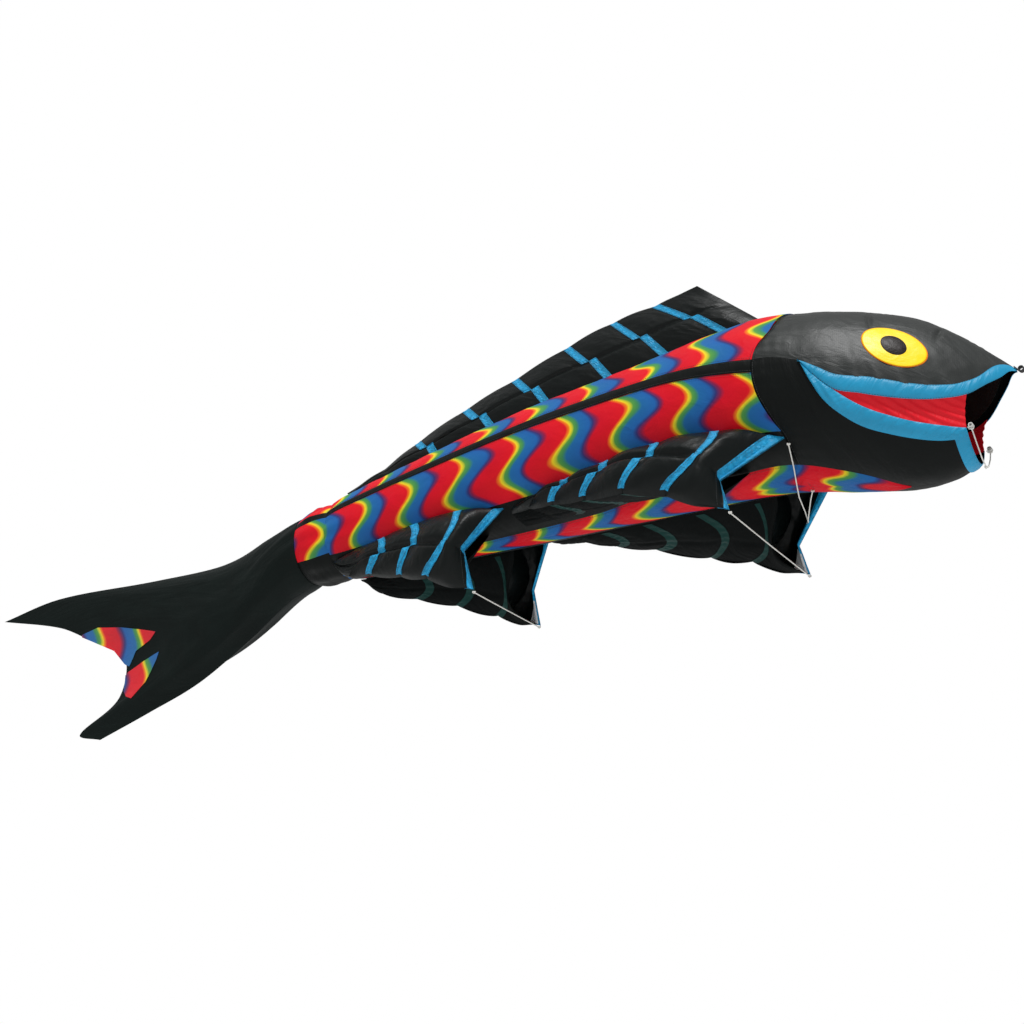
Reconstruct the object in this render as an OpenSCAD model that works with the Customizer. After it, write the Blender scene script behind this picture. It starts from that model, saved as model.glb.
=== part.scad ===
// Carp streamer: a wind-filled cloth fish, nose towards +X, tail towards -X, back up.
// Sewing patterns are given by station (distance behind the nose tip) and by angle
// round the body (0 at the back seam, 180 at the belly seam).

/* [Cloth] */
// Thickness of every cloth panel, hems included
cloth = 2; // [1.5:0.5:3]
// Height of each fin skin above the body it is sewn to
stand_off = 20; // [19:1:24]

/* [Fins] */
// How far the outer skin of a side fin puffs out
outer_puff = 85; // [50:5:90]
// How far the inner skin of a side fin puffs in
inner_puff = 22; // [10:2:26]
// Half thickness of the back fin at its foot
dorsal_foot = 45; // [30:5:50]
// Width of the coloured tape over each fin rib
tape_w = 40; // [24:2:50]

/* [Lines and loops] */
// Diameter of the white lines
line_d = 4.5; // [3:0.5:6]
// Inner radius of the towing loop on the upper lip
lip_loop_r = 7; // [5:0.5:9]
// Inner radius of the loops on the lower jaw
jaw_loop_r = 5; // [4:0.5:6]
// Width of the loop webbing
webbing_w = 20; // [12:2:24]

/* [Hidden] */
// [station, half width, half height, height of the middle]
FORM = [[0, 6, 86, -130], [50, 45, 138, -125], [150, 125, 220, -102], [270, 195, 291, -74],
        [420, 262, 322, -35], [600, 315, 327, 16], [850, 322, 313, 66], [1300, 290, 283, 63],
        [1800, 255, 254, 53], [2300, 206, 207, 30], [2700, 163, 165, 9], [2950, 138, 150, 0]];
// seams as [station, angle]
STRIP_TOP = [[700, 82], [810, 82], [1200, 70], [1600, 66], [1900, 66], [2500, 62], [2950, 60]];
STRIP_LOW = [[700, 91], [815, 91], [1200, 77.5], [1500, 74], [1800, 72], [2500, 69], [2950, 67]];
BELLY_TOP = [[412, 180], [495, 167], [614, 159], [750, 155], [1000, 158], [1350, 158],
             [1550, 163], [2000, 165], [2950, 166]];
CROWN_LOW = [[0, 6], [20, 20], [47, 40], [105, 76], [165, 90], [223, 94], [309, 95], [425, 93.5],
             [530, 94], [590, 89.5], [640, 85.5], [740, 82], [820, 82]];
UPPER_MOUTH = [[0, 24], [20, 42], [50, 68], [100, 88], [151, 100], [231, 104.5], [347, 105.7],
               [464, 104.5], [553, 102.6], [646, 86]];
LOWER_MOUTH = [[176, 130], [249, 124], [361, 118.7], [472, 112], [553, 102.6], [646, 86]];
CHIN_TOP = [[218, 137.7], [319, 133.3], [405, 129.5], [489, 124.8], [554, 116.6], [591, 108.4],
            [619, 97], [646, 85.5], [740, 82], [820, 82]];
// the head ends here, as [angle, station]
HEAD_SEAM = [[0, 705], [20, 709], [58, 743], [71, 785], [82, 806], [92, 813], [103, 809],
             [112, 796], [124, 772], [134, 752], [155, 750], [180, 750]];
SIDE_LOW = 130;
NOSE_S = 4.25;
CHIN_S = 218;
JAW_S = 176;
MOUTH_CORNER_S = 553;
BODY_END_S = 2745;
HEAD_STEPS = 15;
CHIN_STEPS = 11;
GORE_STEPS = 20;

// each side fin rib, front to rear, as [outer root station, outer root angle,
// inner root station, edge station, edge y, edge z]
PECTORAL = [[753, 134, 930, 924, 378, -442], [985, 127, 1010, 1142, 383, -336],
            [1235, 125, 1240, 1304, 376, -283], [1450, 128, 1450, 1493, 294, -230],
            [1620, 132, 1620, 1643, 247, -193], [1750, 134, 1745, 1768, 190, -160]];
PECTORAL_CORNER = [-949, 368, -327];
PELVIC = [[1882, 134, 2000, 1985, 253, -443], [2060, 127, 2075, 2175, 260, -358],
          [2275, 126, 2280, 2325, 204, -298], [2440, 130, 2440, 2491, 165, -243],
          [2600, 134, 2595, 2622, 112, -205]];
PELVIC_CORNER = [-2010, 264, -290];
INNER_ROOT = 157;
// back fin ribs as [foot station, top station], and its top line as [station, height]
DORSAL = [[815, 1097], [952, 1275], [1201, 1456], [1441, 1661], [1717, 1898], [1966, 2128],
          [2233, 2358], [2450, 2519], [2620, 2660]];
DORSAL_TOP = [[1097, 649], [1275, 622], [1456, 606], [1661, 561], [1898, 493], [2128, 428],
              [2358, 347], [2519, 293], [2660, 240]];

// tail fin outlines as [share of the way, station, height]
TAIL_S = 2860;
TAIL_HALF = [140, 150];
TAIL_UP = [[0, 2860, 150], [0.17, 3100, 105], [0.36, 3350, 50], [0.5, 3700, 65], [0.8, 4266, 108],
           [1, 4600, 73]];
TAIL_DOWN = [[0, 2860, -150], [0.1, 2990, -185], [0.26, 3199, -310], [0.48, 3456, -440],
             [0.73, 3721, -518], [1, 3993, -589]];
TAIL_FORK = [[0, 4600, 73], [0.2, 4258, -30], [0.32, 4077, -124], [0.44, 3930, -201],
             [0.53, 3860, -285], [0.66, 3901, -430], [0.88, 4108, -546], [1, 3993, -589]];
TAIL_ROWS = 14;
TAIL_COLS = 16;
// the print insets fill these cells of the tail, as [first row, first column, last column]
INSETS = [[11, 3, 7], [11, 9, 10]];
WAIST_S = 2800;
WAIST_R = 140;
WAIST_Z = 8;

// the frame's origin is the middle of the towing loop
LOOP_AT = [12, 0, -44];
JAW_LOOP_AT = [-158, 114, -249];
LINE_RING = 30;
PIECE_GAP = 1;
SEAM_GAP = 2.5;

// line routes, as hand-set points
PECTORAL_LINE = [[-924, -374, -452], [-924, -180, -453], [-924, 0, -454], [-924, 180, -453],
                 [-924, 366, -452]];
PELVIC_LINE = [[-1985, -249, -453], [-1985, -120, -454], [-1985, 0, -454], [-1985, 120, -454],
               [-1985, 241, -453]];
ROOT_STAY = [[-742, -234, -200], [-762, -150, -244], [-795, -40, -267], [-825, 60, -271],
             [-862, 220, -263], [-880, 290, -262]];
KEEL_STAY = [[-768, 42, -268], [-800, 110, -267], [-835, 190, -267], [-876, 284, -269]];
JAW_LINE = [[-158, -114, -260], [-157, -85, -298], [-157, -40, -340], [-157, 0, -357],
            [-157, 40, -340], [-157, 85, -298], [-158, 114, -260]];

function mix(a, b, t) = a + (b - a) * t;
function unit(v) = v / norm(v);

// smooth curve through the rows of a table, read at x in its first column
function row_of(t, x, i = 0) = (i >= len(t) - 2 || x <= t[i + 1][0]) ? i : row_of(t, x, i + 1);
function slope(t, i, c) =
    let (a = max(i - 1, 0), b = min(i + 1, len(t) - 1))
    (t[b][c] - t[a][c]) / (t[b][0] - t[a][0]);
function curve(t, x, c = 1) =
    let (i = row_of(t, x), h = t[i + 1][0] - t[i][0],
         f = min(max((x - t[i][0]) / h, 0), 1), g = f * f * (3 - 2 * f))
    mix(t[i][c], t[i + 1][c], g)
    + h * f * (1 - f) * ((1 - f) * slope(t, i, c) - f * slope(t, i + 1, c));

// a point of the body's skin, raised by lift
function skin(s, angle, lift = 0) =
    [-s, (curve(FORM, s) + lift) * sin(angle), curve(FORM, s, 3) + (curve(FORM, s, 2) + lift) * cos(angle)];

// ---- shells: two layers of a grid of points joined round the edge ----
function cell_sides(a, b, c, d, lift, open) = concat(
    open[0] ? [[a, a + lift, b + lift], [a, b + lift, b]] : [],
    open[1] ? [[b, b + lift, c + lift], [b, c + lift, c]] : [],
    open[2] ? [[c, c + lift, d + lift], [c, d + lift, d]] : [],
    open[3] ? [[d, d + lift, a + lift], [d, a + lift, a]] : []);
module shell(top, under, keep = function(i, j) true) {
    n = len(top);
    m = len(top[0]);
    k = function(i, j) i >= 0 && j >= 0 && i < n - 1 && j < m - 1 && keep(i, j);
    faces = [for (i = [0:n - 2], j = [0:m - 2]) if (k(i, j))
        let (a = i * m + j, b = a + 1, c = b + m, d = a + m, u = n * m)
        each concat([[a, b, c], [a, c, d], [a + u, c + u, b + u], [a + u, d + u, c + u]],
                    cell_sides(a, b, c, d, u,
                               [!k(i - 1, j), !k(i, j + 1), !k(i + 1, j), !k(i, j - 1)]))];
    polyhedron(concat([for (r = top) each r], [for (r = under) each r]), faces);
}

// a panel of the body between two seams, given as functions of the share along and across
module panel(rows, cols, place, lift = 0) {
    layer = function(l) [for (i = [0:rows]) [for (j = [0:cols])
        let (p = place(i / rows, j / cols)) skin(p[0], p[1], l)]];
    shell(layer(lift), layer(lift - cloth));
}

// half of the gap left at a lengthwise seam, in degrees
function seam(s) = 29 * SEAM_GAP / curve(FORM, s, 2);

module left() translate(-LOOP_AT) children();
module right() translate(-LOOP_AT) mirror([0, 1, 0]) children();
module middle() translate(-LOOP_AT) children();

// ---- body gores, from the head seam to the waist ----
module gore(low, high, cols) {
    panel(GORE_STEPS, cols, function(u, v)
        let (from = curve(HEAD_SEAM, mix(low(750), high(750), v)) + SEAM_GAP,
             s = mix(from, BODY_END_S, u))
        [s, mix(low(s) + seam(s), high(s) - seam(s), v)]);
}
module back_gore() color("orangered") gore(function(s) 0, function(s) curve(STRIP_TOP, s), 6);
module lateral_strip() color("dimgray")
    gore(function(s) curve(STRIP_TOP, s), function(s) curve(STRIP_LOW, s), 1);
module side_gore() color("royalblue")
    gore(function(s) curve(STRIP_LOW, s), function(s) SIDE_LOW, 4);
module flank_gore() color("black")
    gore(function(s) SIDE_LOW, function(s) curve(BELLY_TOP, s), 2);
module belly_gore() color("seagreen") {
    tip = 7;
    panel(GORE_STEPS + tip, 2, function(u, v)
        let (i = u * (GORE_STEPS + tip) - tip,
             s = i < 0 ? mix(750, CHIN_S, -i / CHIN_STEPS) : mix(750, BODY_END_S, i / GORE_STEPS))
        [s, mix(min(curve(BELLY_TOP, s) + seam(s), 179), 180 - seam(s) / 2, v)]);
}

// ---- head ----
module crown() color("black")
    panel(HEAD_STEPS, 8, function(u, v)
        let (s = mix(curve(HEAD_SEAM, 82 * v) - SEAM_GAP, NOSE_S, u))
        [s, mix(seam(s) / 2, curve(CROWN_LOW, s) - seam(s), v)]);
function chin_top(s) = max(curve(CHIN_TOP, s), curve(CROWN_LOW, s));
module chin() color("black")
    panel(CHIN_STEPS, 6, function(u, v)
        let (s = mix(curve(HEAD_SEAM, mix(82, 155, v)) - SEAM_GAP, CHIN_S + SEAM_GAP, u),
             low = s < 400 ? 180 : min(curve(BELLY_TOP, s), 178.9))
        [s, mix(chin_top(s) + seam(s), low - seam(s), v)]);

// stations shared by the edge of the crown and the lips
function lip_s(i) = mix(806, CHIN_S, max(i, 3.3) / CHIN_STEPS);
module upper_lip() color("deepskyblue")
    panel(HEAD_STEPS - 3, 2, function(u, v)
        let (s = lip_s(3 + u * (HEAD_STEPS - 3)))
        let (s0 = curve(CROWN_LOW, s) + seam(s))
        [s, mix(s0, max(curve(UPPER_MOUTH, s) - seam(s), s0 + 0.2), v)]);
// runs forward below the mouth, turns at the corner and goes down the front of the jaw
module lower_lip() color("deepskyblue") {
    sides = CHIN_STEPS - 3;
    fronts = 5;
    panel(sides + fronts, 2, function(u, v)
        let (i = u * (sides + fronts), s = lip_s(3 + min(i, sides)),
             turn = max(i - sides, 0) / fronts,
             edge = i <= sides
                 ? min(s, mix(MOUTH_CORNER_S, JAW_S, (MOUTH_CORNER_S - s) / (MOUTH_CORNER_S - CHIN_S)))
                 : JAW_S,
             end = 180 - seam(s) / 2, low = i <= sides ? chin_top(s) - seam(s) : mix(137, end, turn),
             mouth = max(curve(LOWER_MOUTH, edge), curve(UPPER_MOUTH, edge)) + seam(s),
             top = i <= sides ? min(mouth, low - 0.2) : mix(130, end, turn))
        [mix(edge, s, v), mix(top, low, v)]);
}
module mouth_gusset() color("firebrick") {
    rows = 10;
    cols = 4;
    sink = 14;
    layer = function(l) [for (i = [0:rows]) [for (j = [0:cols])
        let (u = i / rows, v = j / cols, up = mix(525, 151, u), low = mix(525, JAW_S, u),
             s = mix(up, low, v))
        skin(s, mix(curve(UPPER_MOUTH, up) + 0.2, curve(LOWER_MOUTH, low) - 0.2, v),
             l - sink * u * sin(180 * v))]];
    shell(layer(-0.5), layer(-0.5 - cloth));
}

// an oval patch sewn over the skin
module oval(size, lift, thick) {
    rings = 3;
    spokes = 20;
    at = function(r, a, l)
        let (s = 343 + size[0] * r * cos(a) - size[2] * r * sin(a), angle = 68 + size[1] * r * sin(a))
        skin(s, angle, l);
    layer = function(l) [for (i = [0:rings]) [for (k = [0:spokes])
        at(i == 0 ? 0.02 : i / rings, 360 * k / spokes, l)]];
    top = layer(lift + thick);
    under = layer(lift);
    count = (rings + 1) * (spokes + 1);
    id = function(i, k) i * (spokes + 1) + k % spokes;
    ring_faces = [for (i = [0:rings - 1], k = [0:spokes - 1])
        each [[id(i, k), id(i, k + 1), id(i + 1, k + 1)], [id(i, k), id(i + 1, k + 1), id(i + 1, k)],
              [count + id(i, k), count + id(i + 1, k + 1), count + id(i, k + 1)],
              [count + id(i, k), count + id(i + 1, k), count + id(i + 1, k + 1)]]];
    rim = [for (k = [0:spokes - 1])
        each [[id(rings, k), id(rings, k + 1), count + id(rings, k + 1)],
              [id(rings, k), count + id(rings, k + 1), count + id(rings, k)]]];
    core = [for (k = [1:spokes - 2])
        each [[id(0, 0), id(0, k + 1), id(0, k)],
              [count + id(0, 0), count + id(0, k), count + id(0, k + 1)]]];
    polyhedron(concat([for (r = top) each r], [for (r = under) each r]), concat(ring_faces, rim, core));
}
EYE = [95, 16, 12];
PUPIL = [38, 8, 4];
module eye() color("gold") oval(EYE, PIECE_GAP, cloth);
module pupil() color("black") oval(PUPIL, 2 * PIECE_GAP + cloth, cloth);

// ---- side fins, hung from the body between the outer and inner root seams ----
function curve_at(fin, t, c) = curve([for (i = [0:len(fin) - 1]) concat([i], fin[i])], t, c + 1);
function fin_root(fin, outer, t) = outer
    ? skin(curve_at(fin, t, 0), curve_at(fin, t, 1), stand_off)
    : skin(curve_at(fin, t, 2), INNER_ROOT, stand_off);
function fin_edge(fin, t) = [-curve_at(fin, t, 3), curve_at(fin, t, 4), curve_at(fin, t, 5)];
// the leading edge runs from the root to the corner and on to the tip
function fin_lead(fin, corner, outer, v) =
    let (bend = 0.6)
    v < bend ? mix(fin_root(fin, outer, 0), corner, v / bend)
             : mix(corner, fin_edge(fin, 0), (v - bend) / (1 - bend));
// t counts the ribs from the front, v goes from root 0 to edge 1; the skins puff out behind
// the leading edge, which the hem holds straight
function fin_point(fin, corner, outer, t, v, lift) =
    let (root = fin_root(fin, outer, t), edge = fin_edge(fin, t), d = edge - root,
         out = unit([0, -d[2], d[1]]), front = pow(max(1 - t, 0), 2),
         lead = fin_lead(fin, corner, outer, v) - mix(fin_root(fin, outer, 0), fin_edge(fin, 0), v),
         taper = pow(1 - t / (len(fin) - 0.4), 0.7) * pow(sin(90 * min(t / 0.5, 1)), 0.8),
         full = (outer ? outer_puff : -inner_puff) * pow(sin(180 * min(v, 1)), 0.6) * taper)
    mix(root, edge, v) + lead * front + out * (full + lift);
module fin_sheet(fin, corner, outer, lift, ts, vs) {
    layer = function(l) [for (t = ts) [for (v = vs) fin_point(fin, corner, outer, t, v, l)]];
    shell(layer(lift + cloth), layer(lift));
}
// the skins have a row of points at both edges of every tape and of the hem
FIN_COLS = [for (j = [0:6]) j / 6];
HEM_T = tape_w / 230;
function tape_half(fin, k) = tape_w / (fin[k + 1][0] - fin[k - 1][0]);
function fin_steps(fin) = concat([0, HEM_T, 0.5], [for (k = [1:len(fin) - 2])
    each [k - tape_half(fin, k), k, k + tape_half(fin, k), k + 0.5]], [len(fin) - 1]);
module outer_skin(fin, corner) fin_sheet(fin, corner, true, 0, fin_steps(fin), FIN_COLS);
module inner_skin(fin, corner)
    fin_sheet(fin, corner, false, -PIECE_GAP - cloth, fin_steps(fin), FIN_COLS);
module fin_ribs(fin, corner)
    for (t = [1:len(fin) - 2]) {
        layer = function(x) [for (outer = [true, false]) [for (j = [1:5])
            fin_point(fin, corner, outer, t, j / 6, outer ? -4 : 3) + [x, 0, 0]]];
        shell(layer(cloth / 2), layer(-cloth / 2));
    }
module fin_tapes(fin, corner)
    for (k = [1:len(fin) - 2])
        fin_sheet(fin, corner, true, cloth + PIECE_GAP,
                  [k - tape_half(fin, k), k, k + tape_half(fin, k)], FIN_COLS);
module fin_hem(fin, corner)
    fin_sheet(fin, corner, true, cloth + PIECE_GAP, [0, HEM_T], FIN_COLS);

module pectoral_outer() color("black") outer_skin(PECTORAL, PECTORAL_CORNER);
module pectoral_inner() color("black") inner_skin(PECTORAL, PECTORAL_CORNER);
module pectoral_ribs() color("black") fin_ribs(PECTORAL, PECTORAL_CORNER);
module pectoral_tapes() color("deepskyblue") fin_tapes(PECTORAL, PECTORAL_CORNER);
module pectoral_hem() color("deepskyblue") fin_hem(PECTORAL, PECTORAL_CORNER);
module pelvic_outer() color("black") outer_skin(PELVIC, PELVIC_CORNER);
module pelvic_inner() color("black") inner_skin(PELVIC, PELVIC_CORNER);
module pelvic_ribs() color("black") fin_ribs(PELVIC, PELVIC_CORNER);
module pelvic_tapes() color("deepskyblue") {
    fin_tapes(PELVIC, PELVIC_CORNER);
    fin_hem(PELVIC, PELVIC_CORNER);
}

// ---- back fin ----
function dorsal_point(t, v, lift) =
    let (n = len(DORSAL) - 1, foot = curve_at(DORSAL, t, 0), top = curve_at(DORSAL, t, 1),
         ends = pow(sin(min(t, 1) * 90), 0.7) * pow(sin(min(n - t, 1) * 90), 0.7),
         half = 3 + (dorsal_foot * (1 - v) + 16 * sin(180 * v)) * (0.15 + 0.85 * ends))
    [-mix(foot, top, v), half + lift,
     mix(skin(foot, 0)[2] + stand_off - 3, curve(DORSAL_TOP, top), v)];
module dorsal_sheet(t0, t1, lift, rows, cols, v0 = 0, v1 = 1) {
    layer = function(l) [for (i = [0:rows]) [for (j = [0:cols])
        dorsal_point(mix(t0, t1, i / rows), mix(v0, v1, j / cols), l)]];
    shell(layer(lift + cloth), layer(lift));
}
module dorsal_skin() color("black") dorsal_sheet(0, len(DORSAL) - 1, 0, 2 * len(DORSAL), 5);
module dorsal_tapes() color("deepskyblue")
    for (t = [1:6]) {
        half = tape_w / (DORSAL[t + 1][0] - DORSAL[t - 1][0]);
        dorsal_sheet(t - half, t + half, cloth + PIECE_GAP, 2, 5, 0.02, 0.98);
    }
module dorsal_ribs() color("black")
    for (t = [1:6]) {
        layer = function(x) [for (k = [-1, 1]) [for (j = [0:5])
            let (p = dorsal_point(t, mix(0.03, 0.96, j / 5), -PIECE_GAP)) [p[0] + x, k * p[1], p[2]]]];
        shell(layer(-cloth / 2), layer(cloth / 2));
    }

// ---- waist and tail ----
module waist_band() color("orangered")
    translate([-WAIST_S, 0, WAIST_Z])
        intersection() {
            difference() {
                sphere(WAIST_R, $fn = 64);
                sphere(WAIST_R - cloth, $fn = 64);
            }
            cube([104, 400, 400], center = true);
        }
function tail_root(v) = [TAIL_S, TAIL_HALF[1] * cos(180 * v)];
function outline(t, x) = [curve(t, x, 1), curve(t, x, 2)];
function tail_point(u, v, lift) =
    let (flat = mix(tail_root(v), outline(TAIL_FORK, v), u)
             + (1 - v) * (outline(TAIL_UP, u) - mix(tail_root(0), outline(TAIL_FORK, 0), u))
             + v * (outline(TAIL_DOWN, u) - mix(tail_root(1), outline(TAIL_FORK, 1), u)),
         half = TAIL_HALF[0] * sin(180 * v) * pow(1 - u, 1.6) + 35 * sin(180 * u) * sin(180 * v) + 0.3,
         out = unit([0, sin(180 * v) + u, cos(180 * v) * (1 - u)]))
    [-flat[0], half, flat[1]] + out * lift;
function in_inset(i, j) =
    len([for (p = INSETS) if (i >= p[0] && j >= p[1] && j <= p[2]) p]) > 0;
module tail_cells(keep) {
    layer = function(l) [for (i = [0:TAIL_ROWS]) [for (j = [0:TAIL_COLS])
        tail_point(i / TAIL_ROWS, j / TAIL_COLS, l)]];
    shell(layer(cloth), layer(0), keep);
}
module tail_panel() color("black") tail_cells(function(i, j) !in_inset(i, j));
module tail_insets() color("orangered") tail_cells(function(i, j) in_inset(i, j));

// ---- loops and lines ----
module webbing_loop(r, turn, tab) {
    rotate([0, turn, 0]) difference() {
        union() {
            rotate([90, 0, 0]) cylinder(r = r + 3, h = webbing_w, center = true, $fn = 40);
            translate([-tab / 2, 0, -r - 1.6]) cube([tab, webbing_w, 2.4], center = true);
        }
        rotate([90, 0, 0]) cylinder(r = r, h = webbing_w + 2, center = true, $fn = 40);
    }
}
module lip_loop() color("gray") webbing_loop(lip_loop_r, 52, 24);
module jaw_loop() color("gray") translate(JAW_LOOP_AT) webbing_loop(jaw_loop_r, 0, 11);

// points along a route about every LINE_RING, each with a ring of 8 round it
function spread(route) = [for (i = [0:len(route) - 2])
    let (n = max(1, round(norm(route[i + 1] - route[i]) / LINE_RING)))
    each [for (k = [0:n - 1]) mix(route[i], route[i + 1], k / n)]];
module line(route) {
    pts = concat(spread(route), [route[len(route) - 1]]);
    n = len(pts);
    sides = 8;
    rings = [for (i = [0:n - 1])
        let (d = unit(pts[min(i + 1, n - 1)] - pts[max(i - 1, 0)]),
             a = unit(cross(d, [1, 0, 0.3])), b = cross(a, d))
        each [for (k = [0:sides - 1])
            pts[i] + line_d / 2 * (a * cos(360 * k / sides) + b * sin(360 * k / sides))]];
    wall = [for (i = [0:n - 2], k = [0:sides - 1])
        let (p = i * sides + k, q = i * sides + (k + 1) % sides)
        each [[p, q, q + sides], [p, q + sides, p + sides]]];
    caps = [[for (k = [sides - 1:-1:0]) k], [for (k = [0:sides - 1]) (n - 1) * sides + k]];
    polyhedron(rings, concat(wall, caps));
}

left() back_gore();  // left_back_gore
right() back_gore();  // right_back_gore
left() lateral_strip();  // left_lateral_strip
right() lateral_strip();  // right_lateral_strip
left() side_gore();  // left_side_gore
right() side_gore();  // right_side_gore
left() flank_gore();  // left_flank_gore
right() flank_gore();  // right_flank_gore
left() belly_gore();  // left_belly_gore
right() belly_gore();  // right_belly_gore
left() crown();  // left_crown
right() crown();  // right_crown
left() chin();  // left_chin
right() chin();  // right_chin
left() upper_lip();  // left_upper_lip
right() upper_lip();  // right_upper_lip
left() lower_lip();  // left_lower_lip
right() lower_lip();  // right_lower_lip
left() mouth_gusset();  // left_mouth_gusset
right() mouth_gusset();  // right_mouth_gusset
left() eye();  // left_eye
right() eye();  // right_eye
left() pupil();  // left_pupil
right() pupil();  // right_pupil
lip_loop();
union() { left() jaw_loop(); right() jaw_loop(); }  // jaw_loops
middle() line(JAW_LINE);  // jaw_line
middle() line(ROOT_STAY);  // root_stay
middle() line(KEEL_STAY);  // keel_stay
middle() waist_band();
left() tail_panel();  // left_tail_panel
right() tail_panel();  // right_tail_panel
left() tail_insets();  // left_tail_insets
right() tail_insets();  // right_tail_insets
left() dorsal_skin();  // left_dorsal_skin
right() dorsal_skin();  // right_dorsal_skin
middle() dorsal_ribs();
left() dorsal_tapes();  // left_dorsal_tapes
right() dorsal_tapes();  // right_dorsal_tapes
left() pectoral_outer();  // left_pectoral_outer
right() pectoral_outer();  // right_pectoral_outer
left() pectoral_inner();  // left_pectoral_inner
right() pectoral_inner();  // right_pectoral_inner
left() pectoral_ribs();  // left_pectoral_ribs
right() pectoral_ribs();  // right_pectoral_ribs
left() pectoral_tapes();  // left_pectoral_tapes
right() pectoral_tapes();  // right_pectoral_tapes
left() pectoral_hem();  // left_pectoral_hem
right() pectoral_hem();  // right_pectoral_hem
left() pelvic_outer();  // left_pelvic_outer
right() pelvic_outer();  // right_pelvic_outer
left() pelvic_inner();  // left_pelvic_inner
right() pelvic_inner();  // right_pelvic_inner
left() pelvic_ribs();  // left_pelvic_ribs
right() pelvic_ribs();  // right_pelvic_ribs
left() pelvic_tapes();  // left_pelvic_tapes
right() pelvic_tapes();  // right_pelvic_tapes
middle() line(PECTORAL_LINE);  // pectoral_line
middle() line(PELVIC_LINE);  // pelvic_line
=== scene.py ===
import math
import bpy
import numpy as np
from mathutils import Matrix, Vector
from mathutils.bvhtree import BVHTree


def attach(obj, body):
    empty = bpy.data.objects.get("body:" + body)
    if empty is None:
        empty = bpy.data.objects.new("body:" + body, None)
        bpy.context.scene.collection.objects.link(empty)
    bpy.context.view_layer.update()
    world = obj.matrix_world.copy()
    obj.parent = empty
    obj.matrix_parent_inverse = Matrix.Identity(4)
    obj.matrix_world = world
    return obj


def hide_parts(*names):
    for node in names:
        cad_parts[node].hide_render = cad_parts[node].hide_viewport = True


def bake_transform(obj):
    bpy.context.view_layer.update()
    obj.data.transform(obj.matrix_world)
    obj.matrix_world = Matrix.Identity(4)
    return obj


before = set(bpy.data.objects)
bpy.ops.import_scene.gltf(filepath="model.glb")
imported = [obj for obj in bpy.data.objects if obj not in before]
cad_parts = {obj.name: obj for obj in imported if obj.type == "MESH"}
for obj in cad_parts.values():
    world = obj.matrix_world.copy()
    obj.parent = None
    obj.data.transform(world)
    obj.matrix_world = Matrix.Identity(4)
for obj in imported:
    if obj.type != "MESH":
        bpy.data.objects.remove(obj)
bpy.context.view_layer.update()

# all sewing patterns are in millimetres, by station behind the nose and angle round the body,
# and are moved to the towing loop's frame in metres when a piece is made
loopPlace = np.array([12.0, 0.0, -44.0])
fullTurn = 2 * math.pi


def toRow(points):
    return (np.asarray(points, float) - loopPlace) / 1000


def addObject(name, data):
    obj = bpy.data.objects.new(name, data)
    bpy.context.scene.collection.objects.link(obj)
    return obj


# ---- camera ----
camera = {"azimuth": 28.6, "elevation": -22.9, "roll": -3.2, "distance": 6.51, "lens": 59.77, "sensor": 36,
          "farEnd": 60, "target": (-1.957, 0.0, -0.017)}
az, el, roll = (math.radians(camera[k]) for k in ("azimuth", "elevation", "roll"))
back = Vector((math.sin(az) * math.cos(el), -math.cos(az) * math.cos(el), math.sin(el)))
right = Vector((math.cos(az), math.sin(az), 0))
up = back.cross(right)
axisX = right * math.cos(roll) + up * math.sin(roll)
axisY = up * math.cos(roll) - right * math.sin(roll)
camData = bpy.data.cameras.new("camera")
camData.lens = camera["lens"]
camData.sensor_width = camera["sensor"]
camData.clip_end = camera["farEnd"]
camObject = addObject("camera", camData)
turned = Matrix((axisX, axisY, back)).transposed().to_4x4()
camObject.matrix_world = Matrix.Translation(Vector(camera["target"]) + back * camera["distance"]) @ turned
bpy.context.scene.camera = camObject
print("camera set")

# ---- the body's form and its seams ----
form = [[0, 6, 86, -130], [50, 45, 138, -125], [150, 125, 220, -102], [270, 195, 291, -74],
        [420, 262, 322, -35], [600, 315, 327, 16], [850, 322, 313, 66], [1300, 290, 283, 63],
        [1800, 255, 254, 53], [2300, 206, 207, 30], [2700, 163, 165, 9], [2950, 138, 150, 0]]
stripTop = [[700, 82], [810, 82], [1200, 69], [1600, 64], [1900, 63], [2500, 58.5], [2950, 56.5]]
stripLow = [[700, 91], [815, 91], [1200, 77.5], [1500, 74], [1800, 72], [2500, 69], [2950, 67]]
bellyTop = [[412, 180], [495, 167], [614, 159], [750, 155], [1000, 158], [1350, 158],
            [1550, 163], [2000, 165], [2950, 166]]
crownLow = [[0, 6], [20, 20], [47, 40], [105, 76], [165, 90], [223, 94], [309, 95], [425, 93.5],
            [530, 94], [590, 89.5], [640, 85.5], [740, 82], [820, 82]]
upperMouth = [[0, 24], [20, 42], [50, 68], [100, 88], [151, 100], [231, 104.5], [347, 105.7],
              [464, 104.5], [553, 102.6], [646, 86]]
lowerMouth = [[176, 130], [249, 124], [361, 118.7], [472, 112], [553, 102.6], [646, 86]]
chinTop = [[218, 137.7], [319, 133.3], [405, 129.5], [489, 124.8], [554, 116.6], [591, 108.4],
           [619, 97], [646, 85.5], [740, 82], [820, 82]]
headSeam = [[0, 705], [20, 709], [58, 743], [71, 785], [82, 806], [92, 813], [103, 809],
            [112, 796], [124, 772], [134, 752], [155, 750], [180, 750]]
sideLow, noseAt, chinAt, jawAt, mouthCorner = 130, 4.25, 218, 176, 553
creaseFront, waistAt, creaseRear = 2716, 2800, 2880  # the two pinched seams of the waist


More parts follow.
